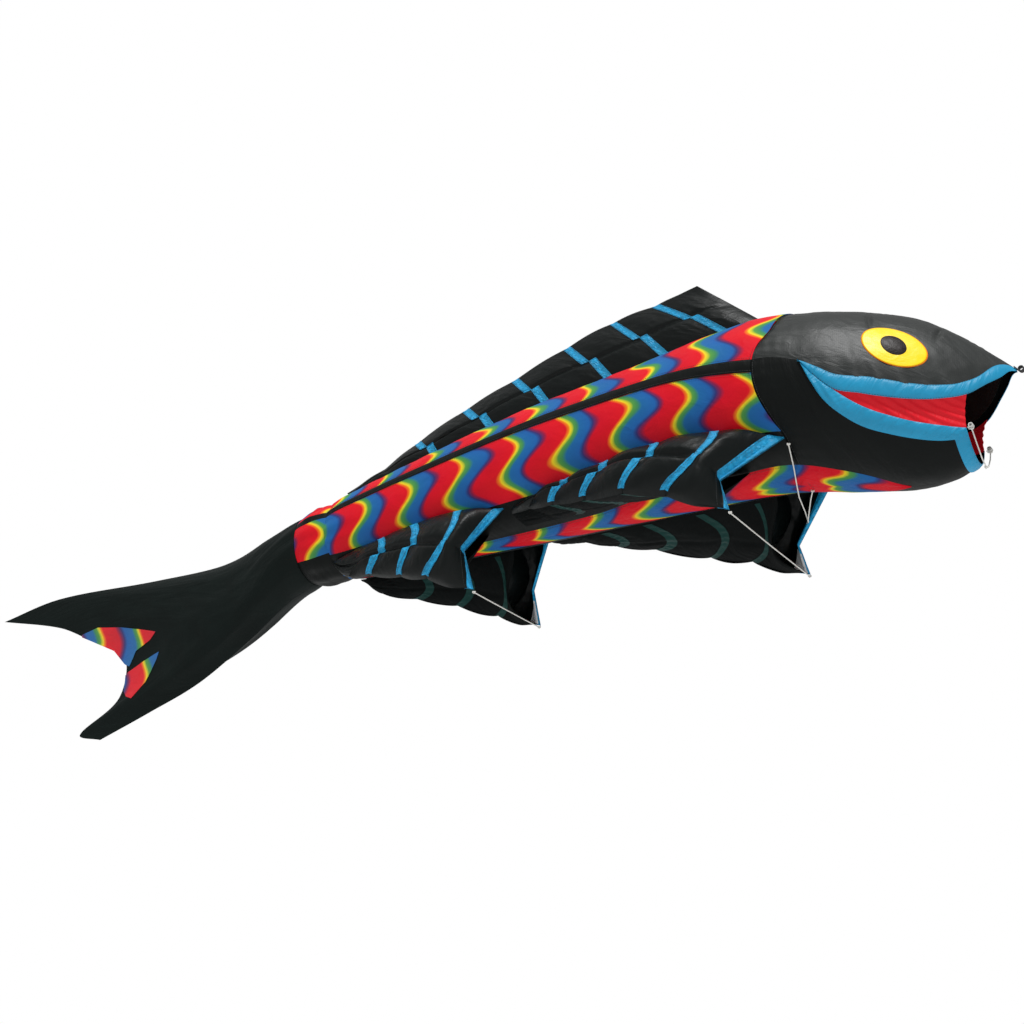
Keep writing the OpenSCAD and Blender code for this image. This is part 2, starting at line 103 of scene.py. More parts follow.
def curveAt(table, x, column=1):
    t = np.asarray(table, float)
    x = np.asarray(x, float)
    n = len(t)
    i = np.clip(np.searchsorted(t[:, 0], x, side="left") - 1, 0, n - 2)
    h = t[i + 1, 0] - t[i, 0]
    f = np.clip((x - t[i, 0]) / h, 0, 1)

    def slope(k):
        a, b = np.maximum(k - 1, 0), np.minimum(k + 1, n - 1)
        return (t[b, column] - t[a, column]) / (t[b, 0] - t[a, 0])
    g = f * f * (3 - 2 * f)
    return (t[i, column] + (t[i + 1, column] - t[i, column]) * g
            + h * f * (1 - f) * ((1 - f) * slope(i) - f * slope(i + 1)))


def mix(a, b, t):
    return a + (b - a) * t


def smooth(x, low, high):
    f = np.clip((x - low) / (high - low), 0, 1)
    return f * f * (3 - 2 * f)


def onBody(s, angle, lift=0.0):
    a = np.radians(angle)
    return np.stack([-s + 0 * a, (curveAt(form, s) + lift) * np.sin(a),
                     curveAt(form, s, 3) + (curveAt(form, s, 2) + lift) * np.cos(a)], -1)


def ruffle(x, y, seed):
    # soft random hills, about one to each unit of x and y
    table = np.random.default_rng(seed).uniform(-1, 1, (64, 64))
    i, j = np.floor(x).astype(int), np.floor(y).astype(int)
    f, g = x - i, y - j
    f, g = f * f * (3 - 2 * f), g * g * (3 - 2 * g)
    a, b = table[i % 64, j % 64], table[(i + 1) % 64, j % 64]
    c, d = table[i % 64, (j + 1) % 64], table[(i + 1) % 64, (j + 1) % 64]
    return (a * (1 - f) + b * f) * (1 - g) + (c * (1 - f) + d * f) * g


# ---- materials ----
def newGroup(name, ins, outs):
    group = bpy.data.node_groups.new(name, "ShaderNodeTree")
    for label, kind, value in ins:
        sock = group.interface.new_socket(label, in_out="INPUT", socket_type=kind)
        if value is not None:
            sock.default_value = value
    for label, kind in outs:
        group.interface.new_socket(label, in_out="OUTPUT", socket_type=kind)
    return group, group.nodes.new("NodeGroupInput"), group.nodes.new("NodeGroupOutput")


def calc(tree, op, a, b=None, c=None):
    node = tree.nodes.new("ShaderNodeMath")
    node.operation = op
    for k, v in enumerate((a, b, c)):
        if v is None:
            continue
        if isinstance(v, (int, float)):
            node.inputs[k].default_value = v
        else:
            tree.links.new(v, node.inputs[k])
    return node.outputs[0]


def weaveGroup():
    # fine threads with a heavier ripstop thread every few millimetres, from the cloth's own UV in metres
    group, gi, go = newGroup("ripstopWeave",
                             [("UV", "NodeSocketVector", None), ("Grid", "NodeSocketFloat", 0.006),
                              ("Thread", "NodeSocketFloat", 0.0009), ("Mottle", "NodeSocketFloat", 7.0)],
                             [("Height", "NodeSocketFloat"), ("Shade", "NodeSocketFloat")])
    link = group.links.new
    sep = group.nodes.new("ShaderNodeSeparateXYZ")
    link(gi.outputs["UV"], sep.inputs[0])
    ribs, threads = [], []
    for axis in (0, 1):
        turn = calc(group, "DIVIDE", sep.outputs[axis], gi.outputs["Grid"])
        part = calc(group, "ABSOLUTE", calc(group, "SUBTRACT", calc(group, "FRACT", turn), 0.5))
        ribs.append(calc(group, "GREATER_THAN", part, 0.43))
        count = calc(group, "DIVIDE", sep.outputs[axis], gi.outputs["Thread"])
        threads.append(calc(group, "SINE", calc(group, "MULTIPLY", count, fullTurn)))
    rib = calc(group, "MAXIMUM", ribs[0], ribs[1])
    thread = calc(group, "MULTIPLY", threads[0], threads[1])
    link(calc(group, "MULTIPLY_ADD", thread, 0.25, rib), go.inputs["Height"])
    noise = group.nodes.new("ShaderNodeTexNoise")
    noise.inputs["Detail"].default_value = 4.0
    link(gi.outputs["Mottle"], noise.inputs["Scale"])
    link(gi.outputs["UV"], noise.inputs["Vector"])
    link(calc(group, "MULTIPLY_ADD", rib, 0.12, noise.outputs[0]), go.inputs["Shade"])
    return group


def puckerGroup():
    # small drawn-in wrinkles of taut cloth, longer across the cloth than along it
    group, gi, go = newGroup("clothPuckers",
                             [("UV", "NodeSocketVector", None), ("Along", "NodeSocketFloat", 14.0),
                              ("Across", "NodeSocketFloat", 5.0)],
                             [("Height", "NodeSocketFloat")])
    link = group.links.new
    scale = group.nodes.new("ShaderNodeCombineXYZ")
    link(gi.outputs["Along"], scale.inputs[0])
    link(gi.outputs["Across"], scale.inputs[1])
    times = group.nodes.new("ShaderNodeVectorMath")
    times.operation = "MULTIPLY"
    link(gi.outputs["UV"], times.inputs[0])
    link(scale.outputs[0], times.inputs[1])
    noise = group.nodes.new("ShaderNodeTexNoise")
    noise.inputs["Scale"].default_value = 1.0
    noise.inputs["Detail"].default_value = 5.0
    noise.inputs["Distortion"].default_value = 0.6
    link(times.outputs[0], noise.inputs["Vector"])
    ridge = calc(group, "ABSOLUTE", calc(group, "SUBTRACT", noise.outputs[0], 0.5))
    link(calc(group, "SUBTRACT", 1.0, calc(group, "MULTIPLY", ridge, 2.0)), go.inputs["Height"])
    return group


def printGroup():
    # the rainbow print: waves of colour across the cloth, one set each repeat along it
    group, gi, go = newGroup("rainbowPrint",
                             [("UV", "NodeSocketVector", None), ("Repeat", "NodeSocketFloat", 0.241),
                              ("Shift", "NodeSocketFloat", 0.0), ("Sway", "NodeSocketFloat", 0.045),
                              ("Wave", "NodeSocketFloat", 0.21), ("Start", "NodeSocketFloat", 0.067)],
                             [("Color", "NodeSocketColor")])
    link = group.links.new
    sep = group.nodes.new("ShaderNodeSeparateXYZ")
    link(gi.outputs["UV"], sep.inputs[0])
    low = group.nodes.new("ShaderNodeTexNoise")
    low.inputs["Scale"].default_value = 4.5
    low.inputs["Detail"].default_value = 1.0
    link(gi.outputs["UV"], low.inputs["Vector"])
    stray = calc(group, "SUBTRACT", low.outputs[0], 0.5)
    across = calc(group, "SUBTRACT", sep.outputs[1], gi.outputs["Start"])
    angle = calc(group, "MULTIPLY", calc(group, "DIVIDE", across, gi.outputs["Wave"]), fullTurn)
    swing = calc(group, "MULTIPLY", calc(group, "ADD", calc(group, "COSINE", angle), 1.0), gi.outputs["Sway"])
    swing = calc(group, "MULTIPLY_ADD", stray, 0.09, swing)
    turn = calc(group, "SUBTRACT", calc(group, "SUBTRACT", gi.outputs["Shift"], swing), sep.outputs[0])
    phase = calc(group, "FRACT", calc(group, "DIVIDE", turn, gi.outputs["Repeat"]))
    ramp = group.nodes.new("ShaderNodeValToRGB")
    stops = [(0.0, (0.80, 0.18, 0.01)), (0.03, (0.83, 0.60, 0.02)), (0.065, (0.50, 0.52, 0.03)),
             (0.10, (0.09, 0.30, 0.05)), (0.17, (0.045, 0.23, 0.09)), (0.23, (0.014, 0.13, 0.34)),
             (0.43, (0.014, 0.11, 0.36)), (0.49, (0.03, 0.03, 0.15)), (0.545, (0.22, 0.012, 0.06)),
             (0.60, (0.62, 0.004, 0.018)), (0.95, (0.68, 0.006, 0.014)), (1.0, (0.85, 0.20, 0.01))]
    marks = ramp.color_ramp.elements
    while len(marks) < len(stops):
        marks.new(0.5)
    for mark, (place, color) in zip(marks, stops):
        mark.position = place
        mark.color = (*color, 1)
    link(phase, ramp.inputs[0])
    link(ramp.outputs[0], go.inputs["Color"])
    return group


groups = {"weave": weaveGroup(), "pucker": puckerGroup(), "print": printGroup()}


def addGroup(tree, name, uv, values):
    node = tree.nodes.new("ShaderNodeGroup")
    node.node_tree = groups[name]
    for key, value in values.items():
        node.inputs[key].default_value = value
    tree.links.new(uv, node.inputs["UV"])
    return node


def addMix(tree, factor, low, high, blend="MIX"):
    node = tree.nodes.new("ShaderNodeMix")
    node.data_type = "RGBA"
    node.blend_type = blend
    for socket, value in ((0, factor), (6, low), (7, high)):
        if isinstance(value, bpy.types.NodeSocket):
            tree.links.new(value, node.inputs[socket])
        else:
            node.inputs[socket].default_value = value
    return node.outputs[2]


def addBump(tree, height, distance, strength=1.0, under=None):
    bump = tree.nodes.new("ShaderNodeBump")
    bump.inputs["Distance"].default_value = distance
    bump.inputs["Strength"].default_value = strength
    tree.links.new(height, bump.inputs["Height"])
    if under is not None:
        tree.links.new(under, bump.inputs["Normal"])
    return bump.outputs[0]


clothLook = {"printShade": 0.25, "wrinkleDepth": 0.012, "weaveDepth": 0.0002, "weaveBump": 0.35}


def clothMaterial(name, color, tone=0.35, rough=0.45, paintedGlow=0.0, prints=None, pucker=(14.0, 5.0, 0.5),
                  specular=0.5, mottle=7.0):
    # pucker is how many wrinkles to a metre along and across the cloth, and how deep
    mat = bpy.data.materials.new(name)
    mat.use_nodes = True
    tree = mat.node_tree
    link = tree.links.new
    shader = tree.nodes["Principled BSDF"]
    uv = tree.nodes.new("ShaderNodeUVMap")
    uv.uv_map = "cloth"
    weave = addGroup(tree, "weave", uv.outputs[0], {"Mottle": mottle})
    wrinkle = addGroup(tree, "pucker", uv.outputs[0], {"Along": pucker[0], "Across": pucker[1]})
    if prints is None:
        low, high = ([min(c * t, 1) for c in color] + [1] for t in (1 - tone, 1 + tone))
        shade = addMix(tree, weave.outputs["Shade"], low, high)
    else:
        dye = addGroup(tree, "print", uv.outputs[0], prints)
        shade = addMix(tree, clothLook["printShade"], dye.outputs[0], weave.outputs["Shade"], "MULTIPLY")
    link(shade, shader.inputs["Base Color"])
    # the emission is painted light: the cloth's own colour glows, standing in for sunlight shining through
    # the thin cloth
    if paintedGlow:
        link(shade, shader.inputs["Emission Color"])
        shader.inputs["Emission Strength"].default_value = paintedGlow
    wrinkled = addBump(tree, wrinkle.outputs["Height"], clothLook["wrinkleDepth"], pucker[2])
    woven = addBump(tree, weave.outputs["Height"], clothLook["weaveDepth"], clothLook["weaveBump"], wrinkled)
    link(woven, shader.inputs["Normal"])
    shader.inputs["Roughness"].default_value = rough
    shader.inputs["Specular IOR Level"].default_value = specular
    mat.diffuse_color = (*color, 1)
    return mat


printBase = (0.6, 0.1, 0.1)
cloths = {
    # the crown's base colour is several times lighter than the other black cloth: painted light on the sunlit
    # top of the head
    "crown": clothMaterial("blackCrownPaintedSunlit", (0.011, 0.014, 0.013), 0.4, 0.46, specular=0.42,
                           pucker=(7.0, 12.0, 0.28)),
    "black": clothMaterial("blackRipstop", (0.0032, 0.0045, 0.0042), 0.4, 0.5, specular=0.12,
                           pucker=(14.0, 5.0, 0.35)),
    "fin": clothMaterial("blackFinCloth", (0.0026, 0.0044, 0.0042), 0.4, 0.38, specular=0.18,
                         pucker=(9.0, 6.0, 0.4)),
    "tail": clothMaterial("blackTailCloth", (0.0035, 0.0070, 0.0062), 0.4, 0.55, specular=0.10,
                          pucker=(4.0, 12.0, 0.3)),
    "lining": clothMaterial("blackLining", (0.003, 0.004, 0.004), 0.3, 0.7, specular=0.05),
    # the prints' emission is painted light: most on the sunlit back gore, less on the side gore and none on
    # the belly, which is in shade
    "back": clothMaterial("rainbowBack", printBase, paintedGlow=0.25, rough=0.55, specular=0.15,
                          pucker=(9.0, 9.0, 0.3), prints={"Shift": 2.032, "Start": 0.045}),
    "side": clothMaterial("rainbowSide", printBase, paintedGlow=0.14, rough=0.55, specular=0.12,
                          pucker=(9.0, 9.0, 0.3), prints={"Shift": 2.112}),
    "belly": clothMaterial("rainbowBelly", printBase, rough=0.6, specular=0.08, pucker=(16.0, 14.0, 0.6),
                           prints={"Shift": 2.152, "Start": 0.0, "Sway": 0.05}),
    "cyan": clothMaterial("cyanTape", (0.010, 0.29, 0.56), 0.8, 0.4, paintedGlow=0.06, specular=0.3,
                          pucker=(40.0, 40.0, 0.9), mottle=55.0),
    "lip": clothMaterial("cyanLip", (0.012, 0.27, 0.48), 0.25, 0.42, paintedGlow=0.05, specular=0.3,
                         pucker=(18.0, 6.0, 0.5)),
    "red": clothMaterial("redGusset", (0.66, 0.006, 0.016), 0.15, 0.45, paintedGlow=0.08, specular=0.2,
                         pucker=(20.0, 4.0, 0.5)),
    "yellow": clothMaterial("yellowPatch", (0.95, 0.66, 0.004), 0.08, 0.35, paintedGlow=0.12, specular=0.3,
                            pucker=(6.0, 9.0, 0.3)),
    "orange": clothMaterial("orangeRim", (0.90, 0.22, 0.01), 0.12, 0.45, specular=0.2),
    "pupil": clothMaterial("darkPatch", (0.013, 0.009, 0.008), 0.3, 0.4, specular=0.2,
                           pucker=(10.0, 10.0, 0.3)),
    # a pale grey sheet, painted highlight: sunlight on the black lining inside the fin near its tip
    "paintedSunPatch": clothMaterial("paleSunlitLiningPainted", (0.70, 0.74, 0.76), 0.15, 0.6, pucker=(30.0, 30.0, 0.9)),
    # dark teal, painted light: the cyan tapes seen through the thin black inner skin
    "tapeShowThroughPainted": clothMaterial("tealTapeShowThroughPainted", (0.003, 0.030, 0.026), 0.4, 0.5, specular=0.1),
}


def objectMaterial(name, color, rough, scale, depth):
    # webbing and line take their weave from Object coordinates
    mat = bpy.data.materials.new(name)
    mat.use_nodes = True
    tree = mat.node_tree
    shader = tree.nodes["Principled BSDF"]
    place = tree.nodes.new("ShaderNodeTexCoord")
    rib = tree.nodes.new("ShaderNodeTexWave")
    rib.bands_direction = "DIAGONAL"
    rib.inputs["Scale"].default_value = scale
    rib.inputs["Distortion"].default_value = 2.0
    tree.links.new(place.outputs["Object"], rib.inputs["Vector"])
    shade = addMix(tree, rib.outputs["Fac"], (*[c * 0.7 for c in color], 1), (*color, 1))
    tree.links.new(shade, shader.inputs["Base Color"])
    tree.links.new(addBump(tree, rib.outputs["Fac"], depth), shader.inputs["Normal"])
    shader.inputs["Roughness"].default_value = rough
    return mat


lineMaterial = objectMaterial("whiteBraid", (0.86, 0.85, 0.80), 0.6, 160.0, 0.0006)
webbingMaterial = objectMaterial("blackWebbing", (0.035, 0.036, 0.038), 0.75, 260.0, 0.0005)
jawWebbingMaterial = objectMaterial("whiteWebbing", (0.75, 0.75, 0.72), 0.75, 260.0, 0.0005)
threadMaterial = objectMaterial("blackThread", (0.03, 0.035, 0.035), 0.6, 400.0, 0.0002)
print("materials made")

# ---- lines ----
lines = {
    "diameter": 0.0045,
    "jaw_line": [[-158, -114, -260], [-157, -85, -298], [-157, -40, -340], [-157, 0, -357],
                 [-157, 40, -340], [-157, 85, -298], [-158, 114, -260]],
    "root_stay": [[-742, -234, -200], [-762, -150, -244], [-795, -40, -267], [-825, 60, -271],
                  [-862, 220, -263], [-880, 290, -262], [-892, 330, -262]],
    "keel_stay": [[-768, 42, -268], [-800, 110, -267], [-835, 190, -267], [-876, 284, -269],
                  [-892, 330, -264]],
    "pectoral_line": [[-924, -374, -452], [-924, -180, -453], [-924, 0, -454], [-924, 180, -453],
                      [-924, 366, -452]],
    "pelvic_line": [[-1985, -249, -453], [-1985, -120, -454], [-1985, 0, -454], [-1985, 120, -454],
                    [-1985, 241, -453]],
}


def addMesh(name, verts, faces, mat, uvs=None, sharp=None):
    mesh = bpy.data.meshes.new(name)
    mesh.from_pydata([tuple(v) for v in verts], [], [tuple(int(i) for i in f) for f in faces])
    if uvs is not None:
        layer = mesh.uv_layers.new(name="cloth")
        index = np.zeros(len(mesh.loops), np.int32)
        mesh.loops.foreach_get("vertex_index", index)
        layer.data.foreach_set("uv", np.asarray(uvs, np.float32)[index].ravel())
    mesh.materials.append(mat)
    mesh.polygons.foreach_set("use_smooth", [True] * len(mesh.polygons))
    if sharp:
        mesh.set_sharp_from_angle(angle=math.radians(sharp))
    mesh.update()
    return addObject(name, mesh)


def asMesh(obj, name):
    bpy.context.view_layer.update()
    mesh = bpy.data.meshes.new_from_object(obj.evaluated_get(bpy.context.evaluated_depsgraph_get()))
    bpy.data.objects.remove(obj)
    return addObject(name, mesh)


def addLine(name):
    curve = bpy.data.curves.new(name, "CURVE")
    curve.dimensions = "3D"
    curve.bevel_depth = lines["diameter"] / 2
    curve.bevel_resolution = 3
    curve.use_fill_caps = True
    points = toRow(lines[name])
    spline = curve.splines.new("POLY")
    spline.points.add(len(points) - 1)
    for p, q in zip(spline.points, points):
        p.co = (*q, 1)
    curve.materials.append(lineMaterial)
    length = float(np.linalg.norm(np.diff(points, axis=0), axis=1).sum())
    return addObject(name + "_run", curve), points, length


def knot(name, at, size=0.005):
    # a small overhand knot, as a torus with a twist in it
    turns, ring, thick = 40, 8, 0.0022
    verts, faces = [], []
    for i in range(turns):
        a = fullTurn * i / turns
        centre = np.array([math.cos(a) + 0.5 * math.cos(2 * a), math.sin(a) - 0.5 * math.sin(2 * a),
                           0.6 * math.sin(3 * a)]) * size * 0.7
        ahead = np.array([-math.sin(a) - math.sin(2 * a), math.cos(a) - math.cos(2 * a),
                          1.8 * math.cos(3 * a)])
        ahead /= np.linalg.norm(ahead)
        side = np.cross(ahead, [0, 0.3, 1])
        side /= np.linalg.norm(side)
        over = np.cross(ahead, side)
        for k in range(ring):
            b = fullTurn * k / ring
            verts.append(centre + (side * math.cos(b) + over * math.sin(b)) * thick + toRow(at))
            here, there = i * ring, (i + 1) % turns * ring
            after = (k + 1) % ring
            faces.append((here + k, here + after, there + after, there + k))
    return addMesh(name, verts, faces, lineMaterial)


tiedTo = {"jaw_line": "body", "pectoral_line": "pectoral_tie", "pelvic_line": "pelvic_tie"}
for key in ("jaw_line", "root_stay", "keel_stay", "pectoral_line", "pelvic_line"):
    run, path, long = addLine(key)
    bends = key not in tiedTo  # the two stays bend between the body and the left fin, so they are meshes
    if bends:
        run = asMesh(run, key + "_run")
    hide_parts(key)
    knots = [knot(key + "_knot_a", lines[key][0]), knot(key + "_knot_b", lines[key][-1])]
    if bends:
        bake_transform(run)
        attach(knots[0], "body")
        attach(knots[1], "left_pectoral")
    else:
        for piece in [run] + knots:
            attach(piece, tiedTo[key])
apex = knot("jaw_apex_knot", lines["jaw_line"][3], 0.006)
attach(apex, "body")
print("lines run")


# ---- cloth panels ----
def gridNormals(p):
    along = np.gradient(p, axis=0)
    across = np.gradient(p, axis=1)
    n = np.cross(along, across)
    size = np.linalg.norm(n, axis=2, keepdims=True)
    return n / np.maximum(size, 1e-9)


def panel(name, points, node, cloth, thick=1.2, side=1, wrinkle=None, outward=1, byRow=False, lining=None):
    # points is a grid in millimetres on the cloth's outer face; side -1 makes the right hand copy, and
    # byRow runs the print and weave by the length along the rows instead of by the station
    p = np.array(points, float)
    n = gridNormals(p) * outward
    if wrinkle is not None:
        p = p + n * wrinkle[..., None]
        n = gridNormals(p) * outward
    rows, cols = p.shape[:2]
    acrossSteps = np.linalg.norm(np.diff(p, axis=1), axis=2)
    alongSteps = np.linalg.norm(np.diff(p, axis=0), axis=2)
    across = np.concatenate([np.zeros((rows, 1)), np.cumsum(acrossSteps, 1)], 1)
    along = np.concatenate([np.zeros((1, cols)), np.cumsum(alongSteps, 0)], 0) if byRow else -p[..., 0]
    uv = np.stack([along, across], -1).reshape(-1, 2) / 1000
    both = np.concatenate([p.reshape(-1, 3), (p - n * thick).reshape(-1, 3)])
    both[:, 1] *= side
    total = rows * cols
    i, j = np.meshgrid(np.arange(rows - 1), np.arange(cols - 1), indexing="ij")
    a = (i * cols + j).ravel()
    quads = np.stack([a, a + cols, a + cols + 1, a + 1], -1)
    border = np.concatenate([np.arange(cols), np.arange(1, rows) * cols + cols - 1,
                             (rows - 1) * cols + np.arange(cols - 2, -1, -1),
                             np.arange(rows - 2, 0, -1) * cols])
    nextOne = np.roll(border, -1)
    rim = np.stack([border, nextOne, nextOne + total, border + total], -1)
    faces = np.concatenate([quads, quads[:, ::-1] + total, rim])
    if outward * side < 0:
        faces = faces[:, ::-1]
    obj = addMesh(name, toRow(both), faces, cloths[cloth], np.concatenate([uv, uv]), sharp=50)
    if lining is not None:
        obj.data.materials.append(cloths[lining])
        obj.data.polygons.foreach_set("material_index", [0] * len(quads) + [1] * len(quads) + [0] * len(rim))
    if node:
        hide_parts(node)
    long, wide = alongSteps.sum(0).max() / 1000, across[:, -1].max() / 1000
    q = p / 1000
    near = np.cross(q[1:, :-1] - q[:-1, :-1], q[:-1, 1:] - q[:-1, :-1])
    far = np.cross(q[:-1, 1:] - q[1:, 1:], q[1:, :-1] - q[1:, 1:])
    area = float((np.linalg.norm(near, axis=2).sum() + np.linalg.norm(far, axis=2).sum()) / 2)
    area = min(max(area, 0.31 * long * wide), long * wide)
    return obj


def grid(rows, cols):
    u, v = np.meshgrid(np.linspace(0, 1, rows + 1), np.linspace(0, 1, cols + 1), indexing="ij")
    return u, v


hands = (("left", 1), ("right", -1))
bodyCloth = {"crease": 7.0, "pinch": 13.0, "rows": 300, "stripLift": 2.5, "front": 750.0, "keelFront": 412.0,
             "keelRows": 60}


def waistPinch(s):
    # the body draws in to the two waist seams
    near = np.exp(-np.abs(s - creaseFront) / 38.0) + np.exp(-np.abs(s - creaseRear) / 42.0)
    return -bodyCloth["pinch"] * near


def gore(u, v, low, high):
    seamAngle = mix(low(bodyCloth["front"]), high(bodyCloth["front"]), v)
    s = mix(curveAt(headSeam, seamAngle), creaseFront, u)
    return s, mix(low(s), high(s), v)


def bodyWrinkle(s, angle, v, billow, seed):
    folds = np.exp(-(creaseFront - s) / 110.0) * np.cos(np.radians(angle) * 17 + seed) * bodyCloth["crease"]
    folds = np.where(s <= creaseFront, folds, 0) * np.sin(np.pi * np.clip(v, 0, 1)) ** 0.5
    hills = ruffle(s / 70, angle / 16, seed) * 1.6 + ruffle(s / 23, angle / 9, seed + 1) * 0.5
    return (billow + hills) * np.sin(np.pi * v) + folds * 0.5 + waistPinch(s)


goreList = [
    ("back_gore", lambda s: 0 * s, lambda s: curveAt(stripTop, s), "back", 60, 6.0),
    ("lateral_strip", lambda s: curveAt(stripTop, s), lambda s: curveAt(stripLow, s), "black", 10, 2.0),
    ("side_gore", lambda s: curveAt(stripLow, s), lambda s: 0 * s + sideLow, "side", 50, 6.0),
    ("flank_gore", lambda s: 0 * s + sideLow, lambda s: curveAt(bellyTop, s), "black", 26, 5.0),
]
rows = bodyCloth["rows"]
for hand, side in hands:
    for label, low, high, cloth, cols, billow in goreList:
        u, v = grid(rows, cols)
        s, angle = gore(u, v, low, high)
        wave = bodyWrinkle(s, angle, v, billow, 11 + cols)
        if label == "lateral_strip":
            wave = wave + bodyCloth["stripLift"]
        points, facing = onBody(s, angle), -1
        if label == "back_gore":  # its print starts at the strip and not at the ridge
            points, wave, facing = points[:, ::-1], wave[:, ::-1], 1
        made = panel("{}_{}_cloth".format(hand, label), points, hand + "_" + label, cloth, side=side,
                     wrinkle=wave, outward=facing)
        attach(made, "body")
    u, v = grid(rows + bodyCloth["keelRows"], 26)
    i = u * (rows + bodyCloth["keelRows"]) - bodyCloth["keelRows"]
    s = np.where(i < 0, mix(bodyCloth["front"], bodyCloth["keelFront"], -i / bodyCloth["keelRows"]),
                 mix(bodyCloth["front"], creaseFront, i / rows))
    angle = mix(np.minimum(curveAt(bellyTop, s), 179.6), 180.0, v)
    made = panel(hand + "_belly_gore_cloth", onBody(s, angle), hand + "_belly_gore", "belly", side=side,
                 wrinkle=bodyWrinkle(s, angle, v, 3.0, 43), outward=-1)
    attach(made, "body")
print("body gores sewn")

# ---- waist: the same gores go on between the two pinched seams ----
waistForm = {"puff": 4.0, "folds": 3.0, "crumple": 2.5, "rows": 30,
             "gores": [("back", 0, 57.5, "back", 24), ("strip", 57.5, 68.5, "black", 6),
                       ("side", 68.5, 126, "side", 24), ("flank", 126, 180, "black", 24)]}
for hand, side in hands:
    for label, a0, a1, cloth, cols in waistForm["gores"]:
        for stretch, s0, s1, pair in (("front", creaseFront, waistAt, ("body", "waist")),
                                      ("rear", waistAt, creaseRear, ("waist", "tail"))):
            u, v = grid(waistForm["rows"], cols)
            s, angle = mix(s0, s1, u), mix(a0, a1, v)
            inside = np.sin(np.pi * (s - creaseFront) / (creaseRear - creaseFront))
            folds = waistForm["folds"] * np.cos(np.radians(angle) * 13)
            folds = folds + waistForm["crumple"] * ruffle(s / 25, angle / 14, 5)
            made = panel("{}_waist_{}_{}".format(hand, label, stretch), onBody(s, angle), None, cloth,
                         side=side, wrinkle=waistPinch(s) + inside * (waistForm["puff"] + folds), outward=-1)
            if side == 1 and label == "back" and stretch == "front":
                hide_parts("waist_band")
            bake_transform(made)
print("waist sewn")

# ---- head ----
headCloth = {"rows": 190, "pucker": 2.4, "overlap": 1.8, "tuck": 5, "sideSeam": 82, "chinSeam": 155,
             "rays": 2.6, "crimp": 2.2, "ticks": [[-9.0, 425, -0.9, 8.0, 12.0], [-8.0, 215, 0.5, 7.0, 10.0]]}


def headWrinkle(s, angle, seed):
    seamNear = np.exp(-np.clip(curveAt(headSeam, angle) - s, 0, None) / 70.0)
    wander = 2 * ruffle(angle / 9, s / 300, seed)
    pleats = seamNear * headCloth["pucker"] * (0.5 + 0.5 * np.cos(np.radians(angle) * 44 + wander))
    hills = 1.5 * ruffle(s / 60, angle / 14, seed + 2) + 0.6 * ruffle(s / 20, angle / 7, seed + 3)
    return hills * smooth(s, 20, 120) - pleats


def crownWrinkle(s, angle):
    # rays above the lip, two deep ticks above the eye, and crimps along the crown's own seam
    lipNear = np.exp(-(curveAt(crownLow, s) - angle) / 11.0) * smooth(s, 120, 240) * (1 - smooth(s, 480, 620))
    wave = headWrinkle(s, angle, 3) + lipNear * headCloth["rays"] * np.cos((s + 0.9 * angle) / 11.0)
    for depth, at, slant, width, tall in headCloth["ticks"]:
        wave = wave + depth * (np.exp(-((s - at - (angle - 40) * slant) / width) ** 2)
                               * np.exp(-((angle - 38) / tall) ** 2))
    crimp = np.exp(-angle / 13.0) * ruffle(s / 11, angle / 22, 9) * smooth(s, 40, 120)
    return wave + headCloth["crimp"] * crimp


def mouthEdge(s):
    return np.maximum(curveAt(chinTop, s), curveAt(crownLow, s))


for hand, side in hands:
    u, v = grid(headCloth["rows"], 70)
    s = mix(curveAt(headSeam, headCloth["sideSeam"] * v) + headCloth["tuck"], noseAt, u)
    angle = v * (curveAt(crownLow, s) + headCloth["overlap"] * smooth(s, 20, 60))
    made = panel(hand + "_crown_cloth", onBody(s, angle), hand + "_crown", "crown", side=side,
                 wrinkle=crownWrinkle(s, angle))
    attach(made, "body")
    u, v = grid(120, 60)
    seam = curveAt(headSeam, mix(headCloth["sideSeam"], headCloth["chinSeam"], v))
    s = mix(seam + headCloth["tuck"], chinAt, u)
    low = np.where(s < bodyCloth["keelFront"], 180.0, curveAt(bellyTop, s))
    over = headCloth["overlap"] * smooth(s, 230, 260) * (1 - smooth(s, 600, 640))
    angle = mix(mouthEdge(s) - over, low, v)
    made = panel(hand + "_chin_cloth", onBody(s, angle), hand + "_chin", "black", side=side,
                 wrinkle=headWrinkle(s, angle, 6) * np.sin(np.pi * v) ** 0.4)
    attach(made, "body")
print("head sewn")

# ---- lips and gusset ----
lipCloth = {"puff": 6.0, "fold": 2.2, "overlap": 1.5, "thick": 1.6, "cornerFrom": 645.6, "turnShare": 0.45,
            "sag": 14.0, "pleat": 2.6, "tuck": 1.6}


def lipWave(v, fold, swell=1.0):
    arch = np.sin(np.pi * v)
    return lipCloth["overlap"] + lipCloth["puff"] * arch ** 0.6 * swell + fold * arch ** 0.5


def sewLip(hand, side, label, s, angle, wave):
    node = "{}_{}_lip".format(hand, label)
    made = panel(node + "_cloth", onBody(s, angle), node, "lip", side=side, wrinkle=wave, byRow=True,
                 thick=lipCloth["thick"], lining="lining")
    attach(made, "body")


def lowerLipTop(s):
    return np.maximum(curveAt(lowerMouth, s), curveAt(upperMouth, s))


